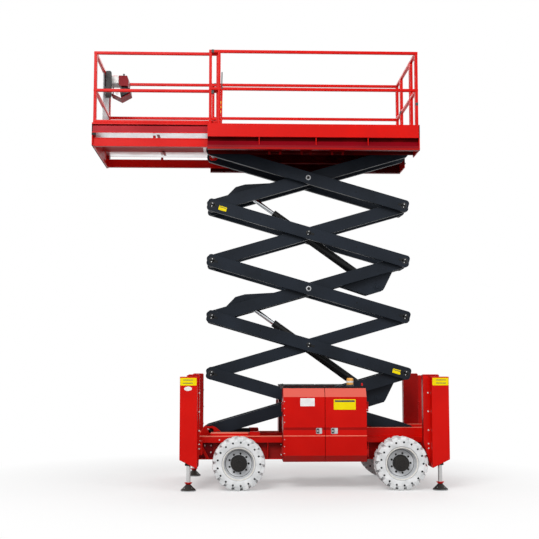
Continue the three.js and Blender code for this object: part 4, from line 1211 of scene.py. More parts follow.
# -------------------------------------------------------------------- scissor stack
@dataclass
class ScissorStack:
    """Five stages of crossed arms on pins, rising from the chassis to the deck."""

    pitch: float = 2640
    height: float = 160
    width: float = 60
    inner_y: float = 135
    outer_y: float = 210
    angle: float = 16.2
    stages: int = 5
    fixed: Point2 = (-1362, 690)
    end_round: float = 85
    end_pin: float = 35
    centre_pin: float = 30
    lug_y: Point2 = (72, 92)
    cylinder_foot: Point2 = (900, -220)
    cylinder_head: Point2 = (-870, 100)
    labels: tuple[tuple[int, float], ...] = ((4, -1228), (2, 1142))

    def axes(self, stage: int, rising: bool) -> Matrix:
        """Axes of one frame of arms: X along it, Z across its height.

        Args:
            stage: Stage from 1 at the bottom.
            rising: Whether it rises towards the rear, as the inner frames do.

        Returns:
            The axes.
        """
        turn = math.radians(self.angle)
        rise, run = self.pitch * math.sin(turn), self.pitch * math.cos(turn)
        centre = Vector((self.fixed[0] + run / 2, 0, self.fixed[1] + (stage - 0.5) * rise))
        return HOME @ Matrix.Translation(centre) @ Matrix.Rotation(-turn if rising else turn, 4, "Y")

    def build(self) -> None:
        """Builds every frame of arms."""
        for stage in range(1, self.stages + 1):
            self.inner(stage)
            self.outer(stage)

    def outline(self, round_start: bool, round_end: bool) -> list[Point2]:
        """Side view of an arm with square or round ends.

        Args:
            round_start: Whether the end at low X is round.
            round_end: Whether the end at high X is round.

        Returns:
            The outline.
        """
        long = self.pitch / 2
        first, last = self.arm_end(round_start), self.arm_end(round_end)
        return [(long + u, v) for u, v in last] + [(-long - u, -v) for u, v in first]

    def arm_end(self, is_round: bool) -> list[Point2]:
        """Corners of one end of an arm, counted from its pin, lower edge first.

        Args:
            is_round: Whether the end is round in place of square.

        Returns:
            The corners.
        """
        half = self.height / 2
        if is_round:
            limit = math.degrees(math.asin(half / self.end_round))
            return arc((0, 0), self.end_round, -limit, limit, 14)
        corner, reach = 42, 20
        return (arc((reach, corner - half), corner, -90, 0, 6)
                + arc((reach, half - corner), corner, 0, 90, 6))

    def inner(self, stage: int) -> None:
        """Builds one inner frame with its end tubes, bores and cylinder plates.

        Args:
            stage: Stage from 1 at the bottom.
        """
        last, long = stage == self.stages, self.pitch / 2
        y0, y1 = self.inner_y, self.inner_y + self.width
        node = f"inner_arms_{stage}"
        shape = Shape().use(ARM_ENAMEL, self.axes(stage, True))
        bores = [(-long, self.end_pin + 0.5), (0.0, self.centre_pin + 0.5)]
        bores += [] if last else [(long, self.end_pin + 0.5)]
        for side in SIDES:
            self.arm(shape, offset(side, y0, y1), self.outline(stage == 1, last), bores)
        for x, bore in bores:
            if x:
                shape.ring(bore, 55, (-y0 - 1, y0 + 1), Way.Y, (x, 0, 0), 48)
        if stage in (1, 3):
            self.foot_lug(shape)
        if stage == 3 or last:
            self.head_lug(shape)
        if last:
            self.rollers(shape)
        shape.piece(f"{node}_frame", node, "arm_paint", [node], 3.5)
        self.inner_fittings(stage, node)

    def arm(self, shape: Shape, y: Span, outline: list[Point2], bores: Sequence[Point2]) -> None:
        """Adds one arm, made in lengths so that each bore is open.

        Args:
            shape: The shape that takes it.
            y: Its faces.
            outline: Its side view.
            bores: Place along it and radius of each bore.
        """
        cuts = sorted(bores)
        edges = [(-math.inf, 0.0)] + cuts + [(math.inf, 0.0)]
        ring = 72.0
        for (start, _), (stop, _) in zip(edges, edges[1:]):
            low = start + ring if math.isfinite(start) else None
            high = stop - ring if math.isfinite(stop) else None
            corners = self.length_between(outline, low, high)
            if corners:
                shape.prism(corners, Way.Y, y)
        for x, radius in cuts:
            self.eye(shape, y, outline, x, radius, ring)

    @staticmethod
    def length_between(outline: list[Point2], low: float | None, high: float | None) -> list[Point2]:
        """Part of a convex outline between two places along it.

        Args:
            outline: The outline.
            low: Where the part starts, or None for the outline's end.
            high: Where it ends, or None for the outline's end.

        Returns:
            The part's corners, or none where nothing is left.
        """
        corners = list(outline)
        for limit, keep in ((low, 1), (high, -1)):
            if limit is None:
                continue
            kept: list[Point2] = []
            for (u0, v0), (u1, v1) in zip(corners, corners[1:] + corners[:1]):
                inside0, inside1 = keep * (u0 - limit) >= 0, keep * (u1 - limit) >= 0
                if inside0:
                    kept.append((u0, v0))
                if inside0 != inside1:
                    share = (limit - u0) / (u1 - u0)
                    kept.append((limit, v0 + share * (v1 - v0)))
            corners = kept
        return corners if len(corners) > 2 else []

    def eye(self, shape: Shape, y: Span, outline: list[Point2], x: float, radius: float,
            ring: float) -> None:
        """Adds the length of an arm around one bore.

        Args:
            shape: The shape that takes it.
            y: The arm's faces.
            outline: The arm's side view.
            x: The bore's place along the arm.
            radius: The bore's radius.
            ring: How far the length reaches each way.
        """
        corners = self.length_between(outline, x - ring, x + ring)
        steps = 48
        outer, hole = [], []
        for i in range(steps):
            a = math.tau * (i + 0.5) / steps
            way = (math.cos(a), math.sin(a))
            reach = min(self.ray(corners, (x, 0.0), way), 400.0)
            outer.append((x + reach * way[0], reach * way[1]))
            hole.append((x + radius * way[0], radius * way[1]))
        rings = [[Vector((u, a, v)) for u, v in loop] for loop, a in
                 ((hole, y[0]), (outer, y[0]), (outer, y[1]), (hole, y[1]))]
        shape.loft(rings, True)

    @staticmethod
    def ray(corners: list[Point2], start: Point2, way: Point2) -> float:
        """Distance from a point inside an outline to its edge.

        Args:
            corners: The outline.
            start: The point.
            way: Direction of one unit.

        Returns:
            The distance.
        """
        best = math.inf
        for (u0, v0), (u1, v1) in zip(corners, corners[1:] + corners[:1]):
            du, dv = u1 - u0, v1 - v0
            cross = way[0] * dv - way[1] * du
            if abs(cross) < 1e-9:
                continue
            t = ((u0 - start[0]) * dv - (v0 - start[1]) * du) / cross
            s = ((u0 - start[0]) * way[1] - (v0 - start[1]) * way[0]) / cross
            if t > 0 and -1e-9 <= s <= 1 + 1e-9:
                best = min(best, t)
        return best

    def foot_lug(self, shape: Shape) -> None:
        """Adds the plates, tie and pin that hold the foot of a lift cylinder.

        Args:
            shape: The shape that takes them.
        """
        plate = [(430, -50), (430, -80), (720, -280), (740, -290), (960, -288), (985, -268), (1160, -80),
                 (1160, -50)]
        for side in SIDES:
            shape.cheek(plate, side, *self.lug_y)
            shape.block((430, 1160), offset(side, self.lug_y[0], self.inner_y + 3), (-70, -50))
            shape.ring(25, 46, (0, side * 9), Way.Y, (*self.cylinder_foot, side * 91), 40)
        shape.block((1100, 1190), (-self.inner_y - 3, self.inner_y + 3), (-60, 60))
        shape.bar(25, Way.Y, (-108, 108), self.cylinder_foot)

    def head_lug(self, shape: Shape) -> None:
        """Adds the plates and tie that hold the rod of a lift cylinder.

        Args:
            shape: The shape that takes them.
        """
        plate = [(-1110, 50), (-1110, 80), (-950, 172), (-820, 172), (-420, 80), (-420, 50)]
        for side in SIDES:
            shape.cheek(plate, side, *self.lug_y)
            shape.block((-1110, -420), offset(side, self.lug_y[0], self.inner_y + 3), (50, 70))
        shape.block((-1100, -1010), (-self.inner_y - 3, self.inner_y + 3), (-60, 60))
        shape.bar(25, Way.Y, (-100, 100), self.cylinder_head)

    def rollers(self, shape: Shape) -> None:
        """Adds an axle across the machine with a roller at each end.

        Args:
            shape: The shape that takes it.
        """
        x = self.pitch / 2
        shape.use(ZINC).bar(self.end_pin, Way.Y, (-336, 336), (x, 0))
        shape.use(PLASTIC)
        for side in SIDES:
            low, high = sorted(offset(side, 285, 334))
            wheel = [(self.end_pin - 1, 0), (38, 0), (42, 4), (42, high - low - 4), (38, high - low),
                     (self.end_pin - 1, high - low), (self.end_pin - 1, 0)]
            shape.lathe(wheel, Way.Y, (x, 0, low), 48)
        shape.use(ARM_ENAMEL)

    def inner_fittings(self, stage: int, node: str) -> None:
        """Builds bolt heads, hose clips and hoses on an inner frame.

        Args:
            stage: Stage from 1 at the bottom.
            node: The frame's node.
        """
        shape = Shape().use(ZINC, self.axes(stage, True))
        for side in SIDES:
            for x in (-1180, -1000, 1010, 1180):
                shape.bolt((x, side * self.inner_y, 52), Way.Y, -side, 8)
        shape.use(RUBBER)
        for z in (36, 20, 4):
            shape.tube([(x, -124, z + sag) for x, sag in ((-1240, 0), (-700, 2), (200, 1), (1060, 0))], 7,
                       12)
        shape.use(BLACK)
        for x in (-1050, -560, -80, 420, 950):
            for low in (46, -9):
                shape.block((x, x + 26), (-self.inner_y - 1, -113.5), (low, low + 5))
            shape.block((x, x + 26), (-116.5, -113.5), (-9, 51))
        shape.piece(f"{node}_fittings", node, "arm_paint", soften=0.8, segments=1)

    def outer(self, stage: int) -> None:
        """Builds one outer frame with the pins that run through the inner frames.

        Args:
            stage: Stage from 1 at the bottom.
        """
        y0, y1 = self.outer_y, self.outer_y + self.width
        long = self.pitch / 2
        node = f"outer_arms_{stage}"
        shape = Shape().use(ARM_ENAMEL, self.axes(stage, False))
        for side in SIDES:
            shape.cheek(self.outline(stage == self.stages, stage == 1), side, y0, y1)
        shape.use(ZINC)
        for x in (-long, long):
            if x < 0 or stage > 1:
                shape.bar(self.end_pin, Way.Y, (-y1, y1), (x, 0))
        for side in SIDES:
            shape.bar(self.centre_pin, Way.Y, offset(side, self.inner_y - 3, y1), (0, 0))
        if stage == 1:
            self.rollers(shape)
        shape.piece(f"{node}_frame", node, "arm_paint", [node], 3.5)
        self.outer_fittings(stage, node, long, y1)

    def outer_fittings(self, stage: int, node: str, long: float, face: float) -> None:
        """Builds pin heads, retaining plates, bolts and the blank label of an outer frame.

        Args:
            stage: Stage from 1 at the bottom.
            node: The frame's node.
            long: Half the distance between its end pins.
            face: Distance out to the arms' outer faces.
        """
        shape = Shape().use(ARM_ENAMEL, self.axes(stage, False))
        for side in SIDES:
            for x in (-long, 0.0, long):
                head = self.end_pin if x else self.centre_pin + 4
                top = stage % 2 == 1 and not x
                if not top and x:
                    shape.use(SHADE_GREY).disc(42, side * 1.5, Way.Y, (x, 0, side * face), 40)
                shape.use(GREY if top else BLACK)
                shape.lathe([(0, 0), (head, 0), (head, side * 2.5), (head - 3, side * 4), (0, side * 4)],
                            Way.Y, (x, 0, side * face), 40)
                shape.use(BLACK)
                if top:
                    shape.disc(head - 14, side * 5, Way.Y, (x, 0, side * face), 32)
                    continue
                away = -1 if x > 0 else 1
                plate = rounded((min(x + away * 20, x + away * 78), -14),
                                (max(x + away * 20, x + away * 78), 14), 6)
                shape.cheek(plate, side, face - 1, face + 4)
                shape.use(ZINC)
                for v in (-20, 20):
                    shape.disc(7, side * 1.5, Way.Y, (x, v, side * (face + 4)), 24)
        for labelled, x in self.labels:
            if labelled == stage:
                shape.use(YELLOW).prism(rounded((x, -40), (x + 108, 16), 5), Way.Y,
                                        (-face - 0.8, -face + 1))
                shape.use(PLASTIC).prism(rounded((x + 8, -4), (x + 100, 5), 2), Way.Y,
                                         (-face - 1.4, -face + 1))
        shape.use(BLACK)
        for side in SIDES:
            for x in (-660, 660):
                shape.bolt((x, side * (face - 0.2), 0), Way.Y, side, 6)
        shape.piece(f"{node}_fittings", node, "arm_paint", soften=0.6, segments=1)


@dataclass
class LiftCylinders:
    """Two lift cylinders between the stages, each a barrel and its rod."""

    stack: ScissorStack
    barrel_radius: float = 50
    barrel_length: float = 1700
    rod_radius: float = 28
    rod_length: float = 1750
    eye_half: float = 65
    bore: float = 25.5

    def build(self) -> None:
        """Builds both cylinders."""
        for word, stage in (("lower", 1), ("upper", 3)):
            foot = self.stack.axes(stage, True) @ Vector((self.stack.cylinder_foot[0], 0,
                                                          self.stack.cylinder_foot[1]))
            head = self.stack.axes(stage + 2, True) @ Vector((self.stack.cylinder_head[0], 0,
                                                              self.stack.cylinder_head[1]))
            turn = Matrix.Rotation(-math.atan2(head.z - foot.z, head.x - foot.x), 4, "Y")
            self.barrel(word, Matrix.Translation(foot) @ turn)
            self.rod(word, Matrix.Translation(head) @ turn)

    def barrel(self, word: str, axes: Matrix) -> None:
        """Builds a barrel along X from its foot's eye.

        Args:
            word: Which cylinder.
            axes: Its axes.
        """
        shape = Shape().use(BLACK, axes)
        radius, length, half = self.barrel_radius, self.barrel_length, self.eye_half
        wall = [(0, 44), (radius - 3, 44), (radius, 60), (radius, length - 96), (radius - 5, length - 94),
                (radius - 5, length - 90), (radius, length - 88), (radius, length - 4),
                (radius - 4, length), (self.rod_radius + 0.6, length),
                (self.rod_radius + 0.6, length - 200), (radius - 8, length - 205), (radius - 8, 61),
                (0, 61)]
        shape.lathe(wall, Way.X, (0, 0, 0), 64)
        shape.ring(self.bore, radius, (-half, half), Way.Y, (0, 0, 0), 56)
        shape.block((-14, 60), (-52, -45), (-12, 12))
        shape.use(ZINC)
        for x in (120, length - 130):
            shape.lathe([(0, 0), (15, 0), (15, 16), (10, 20), (0, 20)], Way.Z, (x, 0, radius - 4), 6)
        shape.use(BLACK)
        pipe = [(length - 130, 0, radius + 12), (length - 150, 0, radius + 10),
                (length - 190, 0, radius + 6)]
        shape.tube(pipe + [(700, 0, radius + 5), (190, 0, radius + 6), (150, 0, radius + 10),
                           (122, 0, radius + 10)], 7)
        for x in (420, 1100):
            shape.block((x, x + 24), (-12, 12), (radius - 3, radius + 14))
        shape.piece(f"{word}_cylinder_tube", f"{word}_barrel", "black_paint", [f"{word}_cylinder_barrel"],
                    1.5)

    def rod(self, word: str, axes: Matrix) -> None:
        """Builds a rod along X, back from its eye.

        Args:
            word: Which cylinder.
            axes: Its axes.
        """
        shape = Shape().use(ROD, axes)
        shape.lathe([(0, -self.rod_length), (self.rod_radius, -self.rod_length), (self.rod_radius, -36),
                     (0, -36)], Way.X, (0, 0, 0), 56)
        shape.use(BLACK)
        half = self.eye_half
        shape.ring(self.bore, 45, (-half, half), Way.Y, (0, 0, 0), 56)
        shape.lathe([(0, -66), (34, -66), (38, -60), (38, -34), (0, -34)], Way.X, (0, 0, 0), 40)
        shape.piece(f"{word}_cylinder_ram", f"{word}_rod", "chrome_rod", [f"{word}_cylinder_rod"], 1)


# ------------------------------------------------------------------------- platform
@dataclass
class Platform:
    """Fixed deck with its side channels, roller tracks, guard rails and entry gate."""

    span: Point2 = (-1415, 1300)
    half: float = 800
    plate: float = 10
    depth: float = 205
    toe: float = 125
    tube: float = 38
    rail_height: float = 1090
    mid_height: float = 600
    gate_half: float = 390
    gate_pin: float = 8
    rail_y: float = 772.7
    track: Point2 = (285, 335)
    roller: float = 42
    rib_places: tuple[float, ...] = (-757, -30, 637)
    bracket_places: tuple[Point2, ...] = ((-645, -469), (-231, -80), (158, 334))

    @property
    def top(self) -> float:
        """Height of the deck's surface."""
        return Limits.of("deck_rail_left").z[0] - 0.3

    @property
    def under(self) -> float:
        """Height of the deck plate's underside."""
        return self.top - self.plate

    @property
    def bottom(self) -> float:
        """Height of the side channels' lower flanges."""
        return self.top - self.depth

    @property
    def heights(self) -> tuple[float, float]:
        """Heights of the upper faces of the rails' level tubes."""
        return self.top + self.rail_height, self.top + self.mid_height

    @property
    def rear_x(self) -> float:
        """Place of the rear rails' middle."""
        return self.span[1] - 12.3 - self.tube / 2

    def build(self) -> None:
        """Builds the deck, its fittings, the rails and the gate."""
        self.deck()
        self.underside()
        self.tread()
        for hand in HANDS:
            self.side_rail(hand)
            self.rear_rail(hand)
        self.gate()

    def deck(self) -> None:
        """Builds the deck's structure."""
        shape = Shape().use(RED)
        x, top, under, low = self.span, self.top, self.under, self.bottom
        shape.block(x, (-self.half + 60, self.half - 60), (under, top))
        end = (x[1] - 12, x[1])
        shape.block(end, (-self.half, self.half), (under, top + self.toe))
        for hand in HANDS:
            side, outer = hand.value, self.half
            channel = [(outer - 8, top - 45), (outer - 8, top), (outer - 70, top), (outer - 70, low),
                       (outer, low), (outer, low + 22), (outer - 1.5, low + 25), (outer - 1.5, low + 52),
                       (outer - 12, low + 60), (outer - 55, low + 118), (outer - 55, top - 45)]
            # The side channels in dark wine red: painted shade of their recess.
            shape.use(WINE_AND_SHADE).strip(side, channel, x)
            # Dark red in the channel's recess: painted shade.
            shape.use(SHADE_RED).block((x[0] + 2, x[1] - 14), offset(side, outer - 56, outer - 53),
                                    (low + 112, top - 45))
            shape.use(DEEP_RED).block(x, offset(side, outer - 6, outer + 1.5), (low, low + 24))
            shape.use(RED).block(x, offset(side, outer - 8, outer), (top - 45, top + self.toe))
            shape.block(end, offset(side, self.track[1] + 8, self.half), (low, under + 5))
            for rib in self.rib_places:
                shape.block((rib - 5, rib + 5), offset(side, outer - 60, outer - 10), (low + 60, top - 44))
            # Ribs under the plate in dark red: painted shade.
            shape.use(SHADE_RED)
            for rib in (-1400, -900, -300, 300, 900):
                shape.block((rib, rib + 40), offset(side, 345, 640), (top - 42, under + 5))
            self.roller_track(shape, side)
            self.pin_lug(shape, side)
        shape.piece("main_deck_frame", "platform", "red_paint", ["main_deck"], 2)

    def roller_track(self, shape: Shape, side: int) -> None:
        """Adds the channel that the top stage's roller runs in.

        Args:
            shape: The shape that takes it.
            side: Sign along Y.
        """
        pin = self.under - 90
        lower, upper = pin - self.roller - 5, pin + self.roller + 5
        inner, web = self.track[0] - 3, self.track[1] + 8
        section = [(web + 14, lower - 14), (inner, lower - 14), (inner, lower), (web, lower), (web, upper),
                   (inner, upper), (inner, self.under + 4), (web + 14, self.under + 4)]
        # Dark red track under the deck: painted shade.
        shape.use(SHADE_RED).strip(side, section, self.span)
        shape.use(RED)

    def pin_lug(self, shape: Shape, side: int) -> None:
        """Adds the lug for the top stage's fixed pin, as two halves around its bore.

        Args:
            shape: The shape that takes it.
            side: Sign along Y.
        """
        pin_x, pin_z, bore = -1362, self.under - 90, 35.5
        y = offset(side, 150, 198)
        around = arc((pin_x, pin_z), bore, 0, 180, 16)
        shape.prism([(pin_x + 60, pin_z), (pin_x + 60, self.under + 4), (pin_x - 53, self.under + 4),
                     (pin_x - 53, pin_z)] + list(reversed(around)), Way.Y, y)
        below = arc((pin_x, pin_z), bore, 180, 360, 16)
        shape.prism([(pin_x - 53, pin_z), (pin_x - 53, pin_z - 30), (pin_x - 30, pin_z - 55),
                     (pin_x + 30, pin_z - 55), (pin_x + 60, pin_z - 30),
                     (pin_x + 60, pin_z)] + list(reversed(below)), Way.Y, y)

    def underside(self) -> None:
        """Builds the brackets and bolts under the deck's edges, and thin sheets on the channels' inner
        faces and under the plate, all in near-black red as painted shade.
        """
        shape = Shape()
        for side in SIDES:
            # Brackets and bolts in dark red: painted shade.
            shape.use(SHADE_RED)
            for low, high in self.bracket_places:
                edge = [(low, 1), (low + 8, -58), (low + 34, -58), (low + 30, -16), (high - 30, -16),
                        (high - 34, -58), (high - 8, -58), (high, 1)]
                shape.cheek([(x, self.bottom + z) for x, z in edge], side, 738, 748)
                for x in (low + 24, high - 24):
                    shape.bolt((x, side * 748, self.bottom - 40), Way.Y, side, 6)
            # Dark sheets on the channel's inner face and under the plate: painted shade.
            shape.block((self.span[0] + 3, self.span[1] - 15),
                        offset(side, self.half - 71.5, self.half - 69.5), (self.bottom + 1, self.under - 1))
            shape.block((self.span[0] + 3, self.span[1] - 15), offset(side, 360, self.half - 72),
                        (self.under - 1.5, self.under + 1))
        shape.piece("main_deck_brackets", "platform", "red_paint", soften=0.8)

    def tread(self) -> None:
        """Builds the tread plate on the deck, with raised bars in two directions."""
        shape = Shape().use(DECK)
        chequer(shape, (-1120, self.span[1] - 62), 735, self.top, 28, 18)
        shape.piece("main_deck_tread", "platform", "red_paint", soften=0)

    def side_rail(self, hand: Hand) -> None:
        """Builds one side guard rail with its clamps.

        Args:
            hand: The side.
        """
        side, half = hand.value, self.tube / 2
        low, high = self.span[0] + 15, self.span[1] - 12.3
        posts = (low + half, low + 130, high - half)
        name = f"deck_rail_{hand.word}"
        rail_frame(name, "platform", Way.X, side * self.rail_y, (low, high), posts, self.top + 0.3,
                   self.heights, self.tube)
        shape = Shape().use(PLASTIC)
        y = offset(side, self.rail_y - half - 3, self.rail_y + half + 3)
        for x, z in ((low + half + 28, self.heights[0] + 2), (low + half + 28, self.heights[1] - 44),
                     (high - half, self.heights[1] - 180)):
            shape.prism(rounded((x - half + 2, z - 40), (x + half - 2, z), 8), Way.Y, y)
        if hand is Hand.LEFT:
            y, x = side * (self.rail_y + half + 12), low + 130 + half + 18
            shape.tube([(x, y, self.heights[1] + 190), (x - 2, y, self.heights[1] + 60),
                        (x, y, self.heights[1] - 40)], 7)
            shape.use(RED).tube([(x, y, self.heights[1] - 30), (x - 4, y, self.heights[1] - 250),
                                 (x - 4, y, self.top + 150)], 10)
            shape.use(YELLOW)
            for step in range(3):
                z = self.heights[1] - 190 - 60 * step
                shape.tube([(x - 8, y, z), (x - 8, y, z - 34)], 8)
        shape.piece(f"{name}_clamps", "platform", "red_paint", soften=1.2)

    def rear_rail(self, hand: Hand) -> None:
        """Builds one rear guard rail beside the gate; the left one carries the hinge pins.

        Args:
            hand: The side.
        """
        side, half = hand.value, self.tube / 2
        outer = self.rail_y - half - 0.3
        span = sorted(offset(side, self.gate_half, outer))
        posts = [side * (self.gate_half + half), side * (outer - half)]
        name = f"rear_rail_{hand.word}"
        rail_frame(name, "platform", Way.Y, self.rear_x, span, posts, self.top + 0.3, self.heights,
                   self.tube)
        shape = Shape().use(RED)
        axis = -self.gate_half + 16
        if hand is Hand.LEFT:
            for z in self.hinges:
                for low in (z - 56, z + 40):
                    shape.block((self.rear_x - 10, self.rear_x + 10), (-self.gate_half - 2, axis + 9),
                                (low, low + 16))
                shape.use(ZINC).bar(self.gate_pin, Way.Z, (z - 45, z + 45), (self.rear_x, axis), 24)
                shape.use(RED)
        else:
            shape.use(PLASTIC).block((self.rear_x - half - 4, self.rear_x + half + 4),
                                     (self.gate_half, self.gate_half + 30),
                                     (self.heights[1] - 44, self.heights[1] + 6))
        shape.piece(f"{name}_fittings", "platform", "red_paint", soften=1)

    @property
    def hinges(self) -> tuple[float, float]:
        """Heights of the gate's hinges."""
        return self.top + 300, self.top + 850

    def gate(self) -> None:
        """Builds the entry gate with its knuckles and latch."""
        half, axis = self.tube / 2, -self.gate_half + 16
        span = (axis + 26, self.gate_half - 8)
        foot = self.top + 40.3
        rail_frame("entry_gate", "entry_gate", Way.Y, self.rear_x, span, (span[0] + half, span[1] - half),
                   foot, (*self.heights, foot + self.tube), self.tube)
        shape = Shape().use(RED)
        for z in self.hinges:
            bore = self.gate_pin + 0.5
            shape.ring(bore, 13, (-33, 33), Way.Z, (self.rear_x, axis, z), 28)
            shape.block((self.rear_x - 6, self.rear_x + 6), (axis + 11, span[0] + 10), (z - 33, z + 33))
        shape.use(ZINC)
        shape.bolt((self.rear_x + half, span[1] - 60, self.heights[1] - 19), Way.X, 1, 8)
        shape.use(PLASTIC).prism(rounded((span[1] - 100, self.heights[1] - 34),
                                         (span[1] - 20, self.heights[1] - 6), 6), Way.X,
                                 (self.rear_x - half - 5, self.rear_x - half + 1))
        shape.piece("entry_gate_fittings", "entry_gate", "red_paint", soften=1)


def rail_frame(
    node: str, body: str, way: Way, place: float, span: Span, posts: Sequence[float], foot: float,
    heights: Sequence[float], tube: float, radius: float = 7,
) -> None:
    """Builds a flat guard rail of tubes with round corners.

    Args:
        node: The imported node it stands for.
        body: The body it rides on.
        way: The axis it runs along, X or Y.
        place: Where its middle is across that axis.
        span: Its ends.
        posts: Middles of its upright posts.
        foot: Height of the posts' feet.
        heights: Upper faces of its level tubes.
        tube: Width of the tubes.
        radius: Radius of the tubes' corners.
    """
    half = tube / 2
    shape = Shape().use(RED)
    for z in heights:
        shape.prism(rounded((place - half, z - tube), (place + half, z), radius), way, span)
    post = half - 0.6
    for at in posts:
        low, high = (place - post, at - post), (place + post, at + post)
        if way is Way.X:
            low, high = (low[1], low[0]), (high[1], high[0])
        shape.prism(rounded(low, high, radius), Way.Z, (foot, max(heights) - 6))
    shape.piece(f"{node}_tubes", body, "red_paint", [node], 1.2)


# ------------------------------------------------------------------------ extension
@dataclass
class Extension:
    """Sliding deck with its beams, rails, control box and document holder."""

    deck: Platform
    span: Point2 = (-2886, -1150)
    half: float = 748
    beam_y: Point2 = (650, 705)
    beam_tail: float = -950
    end_plate: float = 12

    @property
    def floor(self) -> tuple[float, float]:
        """Heights of the sliding floor's faces."""
        return self.deck.top + 7, self.deck.top + 17

    @property
    def beam_z(self) -> tuple[float, float]:
        """Heights of the beams' faces."""
        return self.deck.top - 160, self.deck.top - 50

    @property
    def toe_top(self) -> float:
        """Height of the toe boards' upper edges."""
        return self.deck.top + 137

    @property
    def heights(self) -> tuple[float, float, float]:
        """Upper faces of the level tubes."""
        top, middle = self.deck.heights
        return top - 20, middle - 20, self.toe_top + 38

    @property
    def front_x(self) -> float:
        """Place of the front rail's middle."""
        return self.span[0] + self.end_plate + 0.3 + self.deck.tube / 2

    def build(self) -> None:
        """Builds the deck, its rails and what they carry."""
        self.frame()
        self.tread()
        half, rail_y = self.deck.tube / 2, self.half - 8.3 - self.deck.tube / 2
        foot = self.floor[1] + 0.3
        run = (self.front_x - half, -1270)
        for hand in HANDS:
            rail_frame(f"extension_rail_{hand.word}", "extension", Way.X, hand.value * rail_y, run,
                       (run[0] + half, run[1] - half), foot, self.heights, self.deck.tube)
        reach = rail_y - half - 0.3
        rail_frame("extension_rail_front", "extension", Way.Y, self.front_x, (-reach, reach),
                   (-reach + half, reach - half), foot, self.heights, self.deck.tube)
        self.fittings(rail_y)
        self.control_box()
        self.document_holder()

    def frame(self) -> None:
        """Builds the sliding deck's structure."""
        shape = Shape().use(DECK)
        x = self.span
        shape.block(x, (-self.half + 4, self.half - 4), self.floor)
        shape.use(RED).block((x[0], x[0] + self.end_plate), (-self.half, self.half),
                             (self.beam_z[0], self.toe_top))
        shape.block((x[0], x[0] + self.end_plate + 16), (-self.half, self.half),
                    (self.beam_z[0], self.beam_z[0] + 8))
        for side in SIDES:
            # Toe boards in darker crimson: painted shade.
            shape.use(SHADE_CRIMSON).block(x, offset(side, self.half - 8, self.half),
                                     (self.floor[0], self.toe_top - 20))
            # Dark strip in the toe board's slot: painted shade.
            shape.use(SHADE_RED).block(x, offset(side, self.half - 4, self.half + 0.8),
                                    (self.toe_top - 42, self.toe_top - 20))
            shape.use(BLACK).block((x[0] - 1, x[0] + 52), offset(side, self.half - 7, self.half + 2),
                                   (self.floor[0] - 34, self.floor[0] - 1))
            shape.use(RED).block(x, offset(side, self.half - 8, self.half + 1.5),
                                 (self.toe_top - 22, self.toe_top))
            shape.block(x, offset(side, self.half - 8, self.half + 1.5),
                        (self.floor[0] - 1, self.floor[0] + 10))
            y0, y1 = self.beam_y
            z0, z1 = self.beam_z
            beam = [(y1, z0), (y1, z0 + 14), (y1 - 4, z0 + 16), (y1 - 4, z1 - 16), (y1, z1 - 14), (y1, z1),
                    (y0, z1), (y0, z0)]
            shape.strip(side, beam, (x[0], self.beam_tail))
            shape.use(DEEP_RED).block((x[0] + 4, -1500), offset(side, y0 + 8, y1 - 8), (z0 - 0.8, z0 + 1))
            shape.use(PLASTIC).block((-1340, x[1]), offset(side, 480, 560),
                                     (self.deck.top + 2.7, self.floor[0] + 1))
            shape.use(DEEP_RED).block((x[0] + 14, -1500), offset(side, 20, 400),
                                      (self.floor[0] - 3, self.floor[0] + 1))
            shape.block((-2070, -2034), offset(side, 300, 640), (self.floor[0] - 3, self.floor[0] + 1))
            shape.block((-2112, -2080), offset(side, y0 + 10, y1 - 4), (z1 - 2, self.deck.top - 17))
            corner = [(y1 - 6, z1 - 2), (y0 + 6, z1 - 2), (y0 + 6, self.floor[0] + 2),
                      (self.half - 6, self.floor[0] + 2)]
            shape.strip(side, corner, (x[0] + 12, x[0] + 48))
        shape.piece("extension_deck_frame", "extension", "red_paint", ["extension_deck"], 2)

    def tread(self) -> None:
        """Builds the tread plate on the sliding floor."""
        shape = Shape().use(DECK)
        chequer(shape, (self.span[0] + 60, self.span[1] - 6), self.half - 54, self.floor[1], 20, 17)
        shape.piece("extension_deck_tread", "extension", "red_paint", soften=0)

    def fittings(self, rail_y: float) -> None:
        """Builds the bolts of the sliding deck and the board on its front rail.

        Args:
            rail_y: Distance out to the side rails' middles.
        """
        shape = Shape()
        for side in SIDES:
            shape.use(ZINC)
            for y in (300, 560, 700):
                shape.bolt((self.span[0] + 0.2, side * y, self.deck.top - 60), Way.X, -1, 7)
        shape.use(GREY)
        levels = (self.heights[2], self.heights[1], self.heights[0])
        for low, high in zip(levels, levels[1:]):
            shape.block((self.front_x - 4, self.front_x + 4), (30, rail_y - 60),
                        (low - 1, high - self.deck.tube + 1))
        shape.piece("extension_deck_fittings", "extension", "red_paint", soften=0.8)

